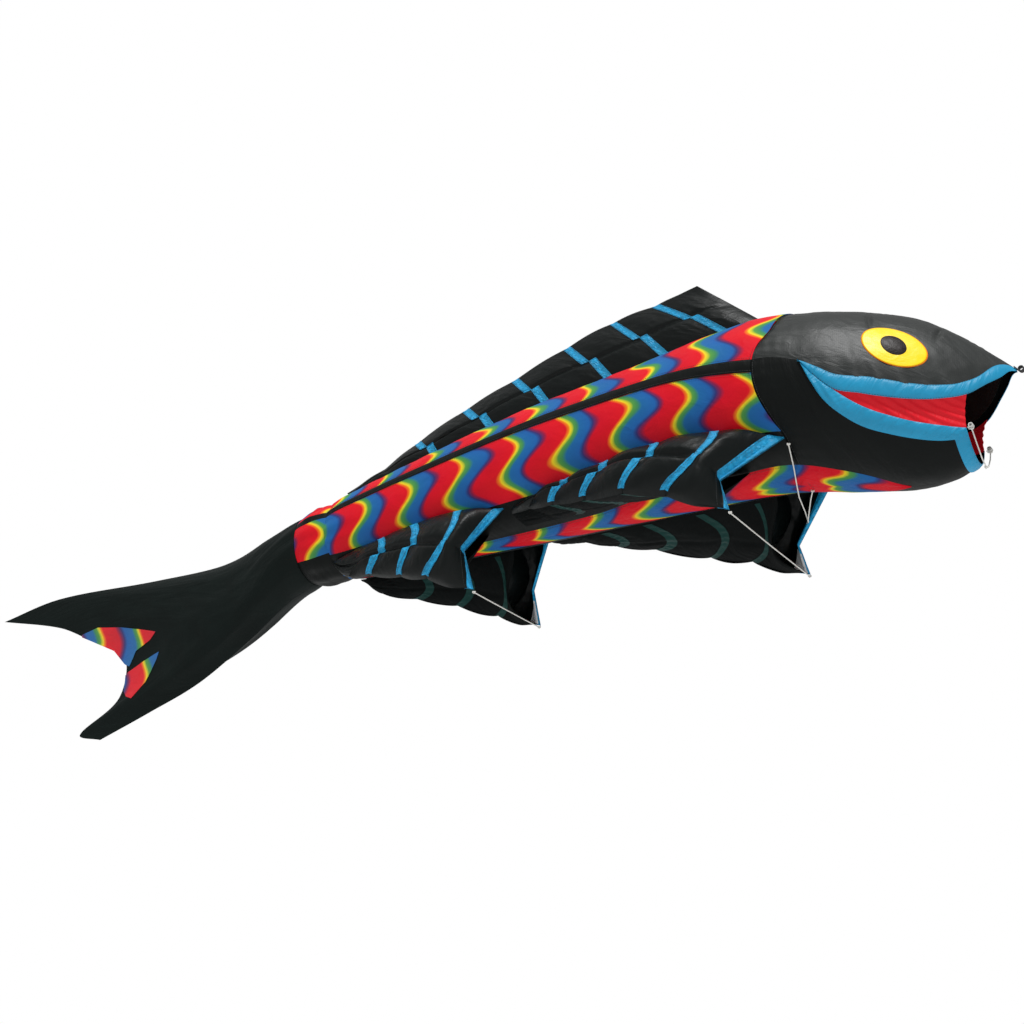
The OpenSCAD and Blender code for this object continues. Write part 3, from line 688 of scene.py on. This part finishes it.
for hand, side in hands:
    u, v = grid(200, 16)
    s = mix(lipCloth["cornerFrom"], noseAt, u)
    top = curveAt(crownLow, s)
    angle = mix(top, np.maximum(curveAt(upperMouth, s), top + 0.3), v)
    fold = lipCloth["fold"] * smooth(s, 520, 600) * np.cos((s - angle * 3.2) / 5.5)
    fold = fold + 1.1 * ruffle(s / 16, v * 2.2, 21)
    sewLip(hand, side, "upper", s, angle, lipWave(v, fold, smooth(s, 5, 60)))
    # the lower lip runs to the jaw's corner, and its last part turns down round the front
    u, v = grid(220, 16)
    part = u * (1 + lipCloth["turnShare"])
    turn = np.clip((part - 1) / lipCloth["turnShare"], 0, 1)
    s = mix(lipCloth["cornerFrom"], chinAt, np.minimum(part, 1))
    edge = np.where(s > mouthCorner, s, mix(mouthCorner, jawAt, (mouthCorner - s) / (mouthCorner - chinAt)))
    top = np.where(part <= 1, np.minimum(lowerLipTop(edge), mouthEdge(s) - 0.3), mix(130.0, 180.0, turn))
    low = np.where(part <= 1, mouthEdge(s), mix(137.7, 180.0, turn))
    corner = smooth(s, 500, 590) + 0.5 * np.exp(-((part - 1) / 0.06) ** 2)
    s, angle = mix(edge, s, v), mix(top, low, v)
    fold = lipCloth["fold"] * np.minimum(corner, 1) * np.cos((s + angle * 2.4) / 5.0)
    fold = fold + 1.2 * ruffle(part * 26, v * 2.2, 25)
    sewLip(hand, side, "lower", s, angle, lipWave(v, fold))
    u, v = grid(120, 30)
    above, below = mix(640.0, 151.0, u), mix(640.0, jawAt, u)
    s = mix(above, below, v)
    angle = mix(curveAt(upperMouth, above) - lipCloth["tuck"], lowerLipTop(below) + lipCloth["tuck"], v)
    arch = np.sin(np.pi * v)
    pleat = lipCloth["pleat"] * arch ** 0.6 * np.cos((s * 0.75 + angle * 5.2) / 6.4) * smooth(u, 0.25, 0.6)
    made = panel(hand + "_gusset_cloth", onBody(s, angle), hand + "_mouth_gusset", "red", side=side,
                 wrinkle=pleat - lipCloth["sag"] * u * arch - 0.6)
    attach(made, "body")
print("mouth sewn")

# ---- eyes ----
eyes = {"station": 343.0, "angle": 68.0, "spokes": 96, "rings": 22, "radius": 0.29,
        "layers": [("eye_rim", (97, 16.4, 12), 1.5, 2.0, "orange", None),
                   ("eye_patch", (94, 15.8, 12), 3.0, 2.0, "yellow", "eye"),
                   ("pupil_patch", (38, 8, 4), 5.0, 5.0, "pupil", "pupil")]}
rings, spokes = eyes["rings"], eyes["spokes"]


def discFaces(total):
    # a fan in the middle and rings of quads round it, then the same turned over for the back, and the rim
    front = [(0, 1 + (k + 1) % spokes, 1 + k) for k in range(spokes)]
    for i in range(rings - 1):
        for k in range(spokes):
            q, w = 1 + i * spokes + k, 1 + i * spokes + (k + 1) % spokes
            front.append((q, w, w + spokes, q + spokes))
    last = 1 + (rings - 1) * spokes
    rim = [(last + k, last + (k + 1) % spokes, last + (k + 1) % spokes + total, last + k + total)
           for k in range(spokes)]
    return front + [tuple(x + total for x in f[::-1]) for f in front] + rim


for hand, side in hands:
    for label, (long, tall, slant), lift, puff, cloth, node in eyes["layers"]:
        r, a = grid(rings, spokes)
        r, a = mix(0.02, 1, r), fullTurn * a
        s = eyes["station"] + r * (long * np.cos(a) - slant * np.sin(a))
        angle = eyes["angle"] + tall * r * np.sin(a)
        wave = headWrinkle(s, angle, 3) + lift + puff * (1 - r ** 2)
        wave = wave + 0.9 * ruffle(s / 30, angle / 6, 31) * (1 - r)
        radial = np.stack([0 * s, np.sin(np.radians(angle)), np.cos(np.radians(angle))], -1)
        p = onBody(s, angle) + radial * wave[..., None]
        verts = np.concatenate([np.concatenate([q[0, :-1].mean(0)[None], q[1:, :-1].reshape(-1, 3)])
                                for q in (p, p - radial)])
        uvs = np.stack([-verts[:, 0], verts[:, 2]], -1) / 1000
        verts[:, 1] *= side
        faces = discFaces(len(verts) // 2)
        made = addMesh("{}_{}".format(hand, label), toRow(verts), faces, cloths[cloth], uvs)
        if node:
            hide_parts("{}_{}".format(hand, node))
        wide, high = 2 * long / 1000, 2 * math.radians(tall) * eyes["radius"]
        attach(made, "body")
        signed = sum(made.data.vertices[f.vertices[0]].co.dot(f.normal * f.area) for f in made.data.polygons)
        if signed < 0:
            made.data.flip_normals()
print("eyes sewn")

# ---- side fins: an outer skin with a cyan hem and tapes, an inner skin and ribs between them ----
# a rib's row holds its root on the outer skin as station and angle, its root on the inner skin, and its tip
pectoral = {"name": "pectoral", "corner": [-949, 368, -327], "puff": 92, "sink": 22, "quilt": 16,
            "scallop": 22, "lowHem": 0.3, "tapes": 4,
            "ribs": [[753, 134, 930, 924, 378, -442], [985, 127, 1010, 1142, 383, -336],
                     [1235, 125, 1240, 1304, 376, -283], [1450, 128, 1450, 1493, 294, -230],
                     [1620, 132, 1620, 1643, 247, -193], [1750, 134, 1745, 1768, 190, -160],
                     [1838, 140, 1832, 1852, 168, -150]]}
pelvic = {"name": "pelvic", "corner": [-2010, 264, -290], "puff": 80, "sink": 20, "quilt": 14,
          "scallop": 18, "lowHem": 0.5, "tapes": 3,
          "ribs": [[1882, 134, 2000, 1985, 253, -443], [2060, 127, 2075, 2175, 260, -358],
                   [2275, 126, 2280, 2325, 204, -298], [2440, 130, 2440, 2491, 165, -243],
                   [2600, 134, 2595, 2622, 112, -205],
                   [2695, 142, 2692, 2702, 105, -130]]}
finTrim = {"innerRoot": 157, "rootLift": 3.0, "tape": 36, "hemSpan": 40 / 230, "bend": 0.6, "lean": 0.42,
           "crease": 26, "hangBack": 95, "jog": 0.16, "firstJog": 0.03, "blendOver": 90}


def finRoot(fin, outer, t):
    rows = [[i] + r for i, r in enumerate(fin["ribs"])]
    if outer:
        return onBody(curveAt(rows, t, 1), curveAt(rows, t, 2), finTrim["rootLift"])
    return onBody(curveAt(rows, t, 3), 0 * t + finTrim["innerRoot"], finTrim["rootLift"])


def finEdge(fin, t):
    rows = [[i] + r for i, r in enumerate(fin["ribs"])]
    return np.stack([-curveAt(rows, t, 4), curveAt(rows, t, 5), curveAt(rows, t, 6)], -1)


def finPoint(fin, outer, t, v, lift=0.0):
    # t counts the ribs from the front, and v runs from the root to the edge
    t, v = np.broadcast_arrays(np.asarray(t, float), np.asarray(v, float))
    last = len(fin["ribs"]) - 1
    f = t - np.floor(np.minimum(t, last - 1e-6))
    between = np.sin(np.pi * np.clip(f, 0, 1))
    # the ribs bow toward the head between root and edge
    bow = np.sin(np.pi * np.clip(v, 0, 1)) * smooth(t, 0, 1) * (1 - smooth(t, last - 1.0, last))
    t = t - finTrim["lean"] * bow
    root, edge = finRoot(fin, outer, t), finEdge(fin, t)
    d = edge - root
    scallop = fin["scallop"] * between ** 0.7 * smooth(t, 0.0, 0.5) * (1 - t / (last + 0.5))
    edge = edge + d / np.linalg.norm(d, axis=-1, keepdims=True) * scallop[..., None]
    out = np.stack([0 * t, -d[..., 2], d[..., 1]], -1)
    out /= np.linalg.norm(out, axis=-1, keepdims=True)
    root0, tip = finRoot(fin, outer, np.zeros(1))[0], finEdge(fin, np.zeros(1))[0]
    corner, bend = np.array(fin["corner"], float), finTrim["bend"]
    w = v[..., None]
    lead = np.where(w < bend, mix(root0, corner, w / bend), mix(corner, tip, (w - bend) / (1 - bend)))
    lead = lead - mix(root0, tip, w)
    front = np.maximum(1 - t, 0) ** 2
    if not outer:  # the inner skin's front edge hangs back, so that the hem's lining shows
        lead = np.array([-1.0, 0, 0]) * (finTrim["hangBack"] * np.sin(np.pi * v ** 1.5))[..., None]
    arch = np.sin(np.pi * np.clip(v, 0, 1)) ** (0.45 if outer else 0.7)
    taper = (1 - t / (last + 0.6)) ** 0.7 * np.sin(np.pi / 2 * np.clip((t - 0.08) / 0.42, 0, 1)) ** 0.8
    creaseAt = 0.56 + 0.03 * np.sin(t * 2.2)
    crease = np.exp(-((v - creaseAt) / 0.05) ** 2) * smooth(t, 0.55, 1.0)
    if outer:
        full = fin["puff"] * arch * taper + fin["quilt"] * between * arch * smooth(t, 0.2, 0.6)
        full = full - finTrim["crease"] * crease * (0.5 + 0.5 * between) * taper
    else:
        full = -fin["sink"] * arch * taper - 0.6 * fin["quilt"] * between * arch + 5 * crease * between
    crumple = 1.8 * ruffle(t * 5, v * 6, 51) + 0.9 * ruffle(t * 15, v * 13, 52)
    crumple = crumple * arch * np.clip(t * 2.5, 0, 1)
    ribNear = np.exp(-np.minimum(f, 1 - f) / 0.11) * arch * smooth(t, 0.3, 0.6)
    rays = 1.5 * ribNear * np.cos(v * 52 + 3 * ruffle(t * 3, v * 3, 53))
    full = full + lift + (crumple + rays) * (1 if outer else -1)
    return mix(root, edge, w) + lead * front[..., None] + out * full[..., None]


def sheetOf(fin, outer, t0, t1, v0, v1, rows, cols, lift):
    u, w = grid(rows, cols)
    return finPoint(fin, outer, mix(t0, t1, u), mix(v0, v1, w), lift)


def tapeHalf(fin, k, width):
    # half of a tape's width, counted in ribs
    return width / (fin["ribs"][k + 1][0] - fin["ribs"][k - 1][0])


def blendEnds(fin, side):
    # a plane through the fin's roots: returns the point 2 mm past the farthest root along the plane's normal,
    # and the point blendOver further out
    last = float(len(fin["ribs"]) - 1)
    a = finRoot(fin, True, np.array([0.3, last]))
    b = finRoot(fin, False, np.array([last * 0.5]))[0]
    n = np.cross(a[1] - a[0], b - a[0])
    n /= np.linalg.norm(n)
    if n[2] > 0:
        n = -n
    along = np.linspace(0, last, 20)
    reach = (np.concatenate([finRoot(fin, outer, along) for outer in (True, False)]) @ n).max()
    start = a[0] + n * (reach - a[0] @ n + 2)
    return toRow(start * [1, side, 1]), toRow((start + n * finTrim["blendOver"]) * [1, side, 1])


def sewFin(fin, hand, side):
    last = len(fin["ribs"]) - 1
    label = hand + "_" + fin["name"]
    made = []

    def sew(piece, points, cloth, thick, outward=-1, node=None):
        made.append(panel("{}_{}".format(label, piece), points, node and "{}_{}".format(label, node), cloth,
                          thick=thick, side=side, outward=outward, byRow=True))

    sew("outer_cloth", sheetOf(fin, True, 0, last, 0, 1, 44 * last, 70, 0), "fin", 1.2, node="outer")
    sew("inner_cloth", sheetOf(fin, False, 0, last, 0, 1, 44 * last, 60, 0), "lining", 1.2, 1, "inner")
    for k in range(1, fin["tapes"] + 1):
        half = tapeHalf(fin, k, finTrim["tape"])
        # a tape steps back where it crosses the fin's long crease
        jog = finTrim["firstJog"] if k == 1 else finTrim["jog"]
        for part, v0, v1, shift in (("low", 0.0, 0.57, 0.0), ("high", 0.57, 0.985, jog)):
            u, w = grid(8, 48)
            at = k + mix(-half, half, u) + shift * (1 - w)
            sew("tape_{}_{}".format(part, k), finPoint(fin, True, at, mix(v0, v1, w), 2.2), "cyan", 0.9,
                node="tapes" if k == 1 and part == "low" else None)
        # a dark teal strip on the inner skin under each tape, painted light: the cyan tape seen through the
        # thin black cloth
        sew("tape_back_{}".format(k), sheetOf(fin, False, k - half, k + half, 0.04, 0.985, 6, 60, -1.6),
            "tapeShowThroughPainted", 0.9, 1)
    u, w = grid(10, 120)
    narrow = (1 - fin["lowHem"]) * smooth(w, 0.57, 0.64)
    span = finTrim["hemSpan"] * (1 - narrow + 0.15 * smooth(w, 0.84, 1.0))
    sew("hem_cloth", finPoint(fin, True, mix(-0.002, span, u), w, 2.2), "cyan", 0.9,
        node="hem" if fin is pectoral else None)
    sew("hem_lining", sheetOf(fin, True, 0.0, finTrim["hemSpan"], 0.0, 1.0, 8, 100, -2.2), "cyan", 0.7)
    # a pale grey sheet just inside the outer skin near the tip, a painted highlight of sunlit black lining
    sew("sunlit_patch_painted", sheetOf(fin, True, 0.03, 0.30, 0.72, 0.985, 10, 40, -4.2), "paintedSunPatch", 0.7)
    v = np.linspace(0.03, 0.97, 40)
    for k in range(1, fin["tapes"] + 1):
        at = np.full(len(v), float(k))
        skins = finPoint(fin, True, at, v, -2.5), finPoint(fin, False, at, v, 2.5)
        rib = np.stack([mix(*skins, share) for share in np.linspace(0, 1, 7)])
        sew("rib_{}".format(k), rib, "fin", 0.9, 1, "ribs" if k == 1 else None)
    for piece in made:
        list(blendEnds(fin, side))
        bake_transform(piece)
    print(label, "fin sewn")


for fin in (pectoral, pelvic):
    for hand, side in hands:
        sewFin(fin, hand, side)

# ---- back fin ----
# a rib's row holds the stations of its foot and its top, and top gives the fin's height
dorsal = {"foot": 45, "middle": 16, "quilt": 9, "crease": 9, "scallop": 7, "tape": 36, "tapes": 6,
          "blendFrom": 12, "blendOver": 80,
          "ribs": [[815, 1097], [952, 1275], [1201, 1456], [1441, 1661], [1717, 1898], [1966, 2128],
                   [2233, 2358], [2450, 2519], [2668, 2706]],
          "top": [[1097, 649], [1275, 622], [1456, 606], [1661, 561], [1898, 493], [2128, 428],
                  [2358, 347], [2495, 286], [2628, 240], [2706, 216]]}


def dorsalPoint(t, v, lift=0.0):
    t, v = np.broadcast_arrays(np.asarray(t, float), np.asarray(v, float))
    rows = [[i] + r for i, r in enumerate(dorsal["ribs"])]
    n = len(rows) - 1
    foot, top = curveAt(rows, t, 1), curveAt(rows, t, 2)
    ends = np.sin(np.clip(t, 0, 1) * np.pi / 2) ** 0.7 * np.sin(np.clip(n - t, 0, 1) * np.pi / 2) ** 0.7
    f = t - np.floor(np.minimum(t, n - 1e-6))
    between = np.sin(np.pi * np.clip(f, 0, 1))
    half = (dorsal["foot"] * (1 - v) + dorsal["middle"] * np.sin(np.pi * v)) * (0.15 + 0.85 * ends)
    crease = np.exp(-((v - 0.52 - 0.03 * np.sin(t * 2)) / 0.035) ** 2)
    arch = np.clip(np.sin(np.pi * v), 0, 1) ** 0.6
    dip = dorsal["crease"] * crease * (0.5 + 0.5 * between)
    half = half + ends * (dorsal["quilt"] * between * arch - dip)
    half = half + (1.6 * ruffle(t * 5, v * 5, 61) + 0.8 * ruffle(t * 14, v * 12, 62)) * arch
    scallop = dorsal["scallop"] * (between - 0.35) * smooth(t, 0.4, 1) * smooth(n - t, 0.2, 1)
    height = curveAt(dorsal["top"], top) + scallop
    zLow = curveAt(form, foot, 3) + curveAt(form, foot, 2) - 2
    return np.stack([-mix(foot, top, v), np.maximum(half, 0) + 0.7 + lift, mix(zLow, height, v)], -1)


lastRib = float(len(dorsal["ribs"]) - 1)
footA, footB = dorsalPoint(0.0, 0.0), dorsalPoint(lastRib, 0.0)
made = []
for hand, side in hands:
    u, w = grid(280, 60)
    made.append(panel(hand + "_dorsal_cloth", dorsalPoint(lastRib * u, w), hand + "_dorsal_skin", "fin",
                      thick=0.6, side=side, byRow=True))
    for k in range(1, dorsal["tapes"] + 1):
        half = tapeHalf(dorsal, k, dorsal["tape"])
        # a tape steps toward the head where it crosses the fin's long crease
        for part, v0, v1, t0, t1 in (("low", 0.02, 0.53, 0.06, -0.08), ("high", 0.53, 0.995, 0.05, 0.0)):
            u, w = grid(8, 44)
            place = dorsalPoint(k + mix(t0, t1, w) + mix(-half, half, u), mix(v0, v1, w), 2.0)
            node = hand + "_dorsal_tapes" if k == 1 and part == "low" else None
            made.append(panel("{}_dorsal_tape_{}_{}".format(hand, part, k), place, node, "cyan", thick=0.8,
                              side=side, byRow=True))
v = np.linspace(0.03, 0.96, 40)
for k in range(1, dorsal["tapes"] + 1):
    p = dorsalPoint(np.full(len(v), float(k)), v, -1.5)
    rib = np.stack([mix(p, p * [1, -1, 1], share) for share in np.linspace(0, 1, 5)])
    made.append(panel("dorsal_rib_{}".format(k), rib, "dorsal_ribs" if k == 1 else None, "fin", thick=0.9,
                      byRow=True))
for piece in made:
    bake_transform(piece)
print("back fin sewn")

# ---- tail ----
tail = {"root": 2860, "wide": 140, "tall": 150, "fold": 5.0, "joinOver": 0.07,
        "up": [[0, 2860, 150], [0.17, 3100, 105], [0.36, 3350, 50], [0.5, 3700, 65], [0.8, 4266, 108],
               [1, 4600, 73]],
        "down": [[0, 2860, -150], [0.1, 2990, -185], [0.26, 3199, -310], [0.48, 3456, -440],
                 [0.73, 3721, -518], [1, 3993, -589]],
        "fork": [[0, 4600, 73], [0.2, 4258, -30], [0.32, 4077, -124], [0.44, 3930, -201], [0.53, 3860, -285],
                 [0.66, 3901, -430], [0.88, 4108, -546], [1, 3993, -589]]}


def tailOutline(name, x):
    return np.stack([curveAt(tail[name], x, 1), curveAt(tail[name], x, 2)], -1)


def tailPoint(u, v):
    # u runs from the waist to the fork, and v from the top edge to the lower one
    root = np.stack([0 * v + tail["root"], tail["tall"] * np.cos(np.pi * v)], -1)
    rootTop, rootLow = np.array([tail["root"], tail["tall"]]), np.array([tail["root"], -tail["tall"]])
    back, down = u[..., None], v[..., None]
    upper = tailOutline("up", u) - mix(rootTop, tailOutline("fork", 0 * u), back)
    lower = tailOutline("down", u) - mix(rootLow, tailOutline("fork", 0 * u + 1), back)
    flat = mix(root, tailOutline("fork", v), back) + (1 - down) * upper + down * lower
    across = np.sin(np.pi * v)
    half = tail["wide"] * across * (1 - u) ** 1.6 + 35 * np.sin(np.pi * u) * across + 0.6
    folds = tail["fold"] * (np.cos(v * 34 + 1.5 * ruffle(u * 3, v * 4, 71)) * np.exp(-u / 0.14)
                            + 0.55 * np.cos(v * 19 + u * 6) * np.sin(np.pi * u)) * across
    crumple = 2.6 * ruffle(u * 7, v * 12, 72) + 1.0 * ruffle(u * 22, v * 30, 73)
    folds = folds + crumple * across ** 0.5 * (1 - u ** 8)
    p = np.stack([-flat[..., 0], np.maximum(half + folds, 0.8), flat[..., 1]], -1)
    ring = onBody(np.full_like(u, float(creaseRear)), 180 * v, waistPinch(np.array(float(creaseRear))))
    return mix(ring, p, smooth(u, 0.0, tail["joinOver"])[..., None])


tailGrid = tailPoint(*grid(220, 110))
rows, cols = tailGrid.shape[:2]
tailTree = BVHTree.FromPolygons([tuple(q) for q in tailGrid.reshape(-1, 3)],
                                [(i * cols + j, (i + 1) * cols + j, (i + 1) * cols + j + 1, i * cols + j + 1)
                                 for i in range(rows - 1) for j in range(cols - 1)])


def polyline(points, share):
    points = np.asarray(points, float)
    at = np.concatenate([[0], np.cumsum(np.linalg.norm(np.diff(points, axis=0), axis=1))])
    return np.stack([np.interp(share * at[-1], at, points[:, k]) for k in (0, 1)], -1)


def onTail(x, z):
    # the place 2 mm out from the tail's cloth, seen from its side
    hit = tailTree.ray_cast(Vector((x, 900, z)), Vector((0, -1, 0)))[0]
    return x, (hit.y if hit else 1.0) + 2.0, z


insets = {
    "upper": {"top": [[-4121, -92], [-4023, -82], [-3879, -115], [-3760, -152], [-3671, -183]],
              "low": [[-4121, -104], [-4070, -131], [-3932, -206], [-3868, -280], [-3842, -294],
                      [-3800, -236], [-3708, -211], [-3671, -184]],
              "prints": {"Shift": 4.017, "Repeat": -0.241, "Sway": 0.012}},
    "lower": {"top": [[-3847, -318], [-3760, -296], [-3680, -280], [-3651, -276]],
              "low": [[-3862, -330], [-3868, -400], [-3847, -428], [-3807, -447], [-3728, -392],
                      [-3666, -308], [-3651, -277]],
              "prints": {"Shift": 3.76, "Repeat": 0.241, "Sway": 0.012}}}
for name, patch in insets.items():
    cloths[name] = clothMaterial("rainbow" + name.title() + "Inset", printBase, paintedGlow=0.10, rough=0.5,
                                 pucker=(9.0, 9.0, 0.35), prints=patch["prints"])
for hand, side in hands:
    made = panel(hand + "_tail_cloth", tailGrid, hand + "_tail_panel", "tail", thick=1.0, side=side,
                 outward=-1, byRow=True)
    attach(made, "tail")
    for name, patch in insets.items():
        u, w = grid(70, 26)
        flat = mix(polyline(patch["top"], u), polyline(patch["low"], u), w[..., None])
        points = np.array([[onTail(x, z) for x, z in row] for row in flat])
        made = panel("{}_{}_inset_cloth".format(hand, name), points,
                     hand + "_tail_insets" if name == "upper" else None, name, thick=1.0, side=side)
        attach(made, "tail")
print("tail sewn")

# ---- loops keep their CAD shape ----
for key, webbing in (("lip_loop", webbingMaterial), ("jaw_loops", jawWebbingMaterial)):
    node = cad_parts[key]
    node.data.materials.clear()
    node.data.materials.append(webbing)

# ---- stitches along the seams ----
stitches = {"spacing": 0.009, "length": 0.0055, "thick": 0.0011, "goreGap": 6, "headGap": 7,
            "finTape": 28.8, "backTape": 29}


def stitchTree():
    tree = bpy.data.node_groups.new("seamStitches", "GeometryNodeTree")
    face = tree.interface
    face.new_socket("Geometry", in_out="INPUT", socket_type="NodeSocketGeometry")
    for label in ("Spacing", "Length", "Thickness"):
        face.new_socket(label, in_out="INPUT", socket_type="NodeSocketFloat")
    face.new_socket("Geometry", in_out="OUTPUT", socket_type="NodeSocketGeometry")
    gi, go = tree.nodes.new("NodeGroupInput"), tree.nodes.new("NodeGroupOutput")
    toCurve = tree.nodes.new("GeometryNodeMeshToCurve")
    again = tree.nodes.new("GeometryNodeResampleCurve")
    again.mode = "LENGTH"
    tangent = tree.nodes.new("GeometryNodeInputTangent")
    align = tree.nodes.new("FunctionNodeAlignRotationToVector")
    align.axis = "X"
    cube = tree.nodes.new("GeometryNodeMeshCube")
    size = tree.nodes.new("ShaderNodeCombineXYZ")
    place = tree.nodes.new("GeometryNodeInstanceOnPoints")
    real = tree.nodes.new("GeometryNodeRealizeInstances")
    setMat = tree.nodes.new("GeometryNodeSetMaterial")
    setMat.inputs["Material"].default_value = threadMaterial
    link = tree.links.new
    link(gi.outputs["Geometry"], toCurve.inputs["Mesh"])
    link(toCurve.outputs["Curve"], again.inputs["Curve"])
    link(gi.outputs["Spacing"], again.inputs["Length"])
    link(gi.outputs["Length"], size.inputs[0])
    link(gi.outputs["Thickness"], size.inputs[1])
    link(gi.outputs["Thickness"], size.inputs[2])
    link(size.outputs[0], cube.inputs["Size"])
    link(tangent.outputs[0], align.inputs["Vector"])
    link(again.outputs["Curve"], place.inputs["Points"])
    link(cube.outputs["Mesh"], place.inputs["Instance"])
    link(align.outputs[0], place.inputs["Rotation"])
    link(place.outputs[0], real.inputs[0])
    link(real.outputs[0], setMat.inputs["Geometry"])
    link(setMat.outputs[0], go.inputs[0])
    return tree


stitchNodes = stitchTree()


def sewStitches(name, routes, fix):
    verts, edges = [], []
    for route in routes:
        base = len(verts)
        verts += [tuple(p) for p in toRow(route)]
        edges += [(base + i, base + i + 1) for i in range(len(route) - 1)]
    mesh = bpy.data.meshes.new(name + "_route")
    mesh.from_pydata(verts, edges, [])
    obj = addObject(name + "_route", mesh)
    mod = obj.modifiers.new("stitches", "NODES")
    mod.node_group = stitchNodes
    ids = {i.name: i.identifier for i in stitchNodes.interface.items_tree if i.in_out == "INPUT"}
    for label, key in (("Spacing", "spacing"), ("Length", "length"), ("Thickness", "thick")):
        mod[ids[label]] = stitches[key]
    sewn = asMesh(obj, name)
    fix(sewn)


def mirrored(routes):
    return routes + [r * [1, -1, 1] for r in routes]


routes = []
for table in (stripTop, stripLow, bellyTop):
    for shift in (-stitches["goreGap"], stitches["goreGap"]):
        s = np.linspace(815, creaseFront - 30, 260)
        degrees = np.degrees(shift / curveAt(form, s, 2))
        routes.append(onBody(s, curveAt(table, s) + degrees, waistPinch(s) + 3.6))
ring = np.linspace(2, 178, 200)
for shift, lift in ((-stitches["headGap"], 0.4), (stitches["headGap"], 1.4)):
    routes.append(onBody(curveAt(headSeam, ring) + shift, ring, lift))
s = np.linspace(60, 600, 160)
routes.append(onBody(s, curveAt(crownLow, s) + 0.5, 3.6))
routes.append(onBody(s, curveAt(upperMouth, s) - 0.5, 3.6))
sewStitches("body_stitches", mirrored(routes), lambda o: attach(o, "body"))
for fin in (pectoral, pelvic):
    rows = []
    for k in range(1, fin["tapes"] + 1):
        half = tapeHalf(fin, k, stitches["finTape"])
        rows += [(k - half, 0.97), (k + half, 0.97)]
    rows += [(0.02, 0.98), (finTrim["hemSpan"] - 0.02, 0.98)]
    for hand, side in hands:
        routes = [finPoint(fin, True, np.full(80, t), np.linspace(0.02, v, 80), 2.6) * [1, side, 1]
                  for t, v in rows]
        label, ends = hand + "_" + fin["name"], blendEnds(fin, side)
        sewStitches(label + "_stitches", routes, lambda o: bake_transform(o))
routes = []
w = np.linspace(0, 1, 40)
for k in range(1, dorsal["tapes"] + 1):
    half = tapeHalf(dorsal, k, stitches["backTape"])
    for t in (-half, half):
        for v0, v1, t0, t1 in ((0.04, 0.52, 0.06, -0.08), (0.54, 0.98, 0.05, 0.0)):
            routes.append(dorsalPoint(k + t + mix(t0, t1, w), mix(v0, v1, w), 2.4))
sewStitches("dorsal_stitches", mirrored(routes), lambda o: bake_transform(o))
print("stitches sewn")

# ---- floor and light ----
plate = {"x": (-14, 12), "y": (-16, 14), "z": -3.6, "color": (0.78, 0.78, 0.78, 1), "rough": 0.8}
(x0, x1), (y0, y1), z = plate["x"], plate["y"], plate["z"]
floorMesh = bpy.data.meshes.new("floor")
floorMesh.from_pydata([(x0, y0, z), (x1, y0, z), (x1, y1, z), (x0, y1, z)], [], [(0, 1, 2, 3)])
floorMat = bpy.data.materials.new("paleFloor")
floorMat.use_nodes = True
floorShader = floorMat.node_tree.nodes["Principled BSDF"]
floorShader.inputs["Base Color"].default_value = plate["color"]
floorShader.inputs["Roughness"].default_value = plate["rough"]
floorMesh.materials.append(floorMat)
addObject("floor", floorMesh)

# the camera sees a white backdrop, and the object is lit by a weaker sky and a broad sun
light = {"sun": 2.7, "sunFrom": (0.3, -0.5, 1.0), "sunWidth": 9, "fill": 0.46, "backdrop": 1.0}
bpy.context.scene.view_settings.view_transform = "Standard"
world = bpy.data.worlds.new("paleSky")
bpy.context.scene.world = world
world.use_nodes = True
sky = world.node_tree
background = sky.nodes["Background"]
background.inputs["Color"].default_value = (1, 1, 1, 1)
seen = sky.nodes.new("ShaderNodeLightPath").outputs["Is Camera Ray"]
strength = calc(sky, "MULTIPLY_ADD", seen, light["backdrop"] - light["fill"], light["fill"])
sky.links.new(strength, background.inputs["Strength"])
sunData = bpy.data.lights.new("sun", "SUN")
sunData.energy = light["sun"]
sunData.angle = math.radians(light["sunWidth"])
sun = addObject("sun", sunData)
sun.rotation_mode = "QUATERNION"
sun.rotation_quaternion = Vector(light["sunFrom"]).to_track_quat("Z", "Y")
print("lit")
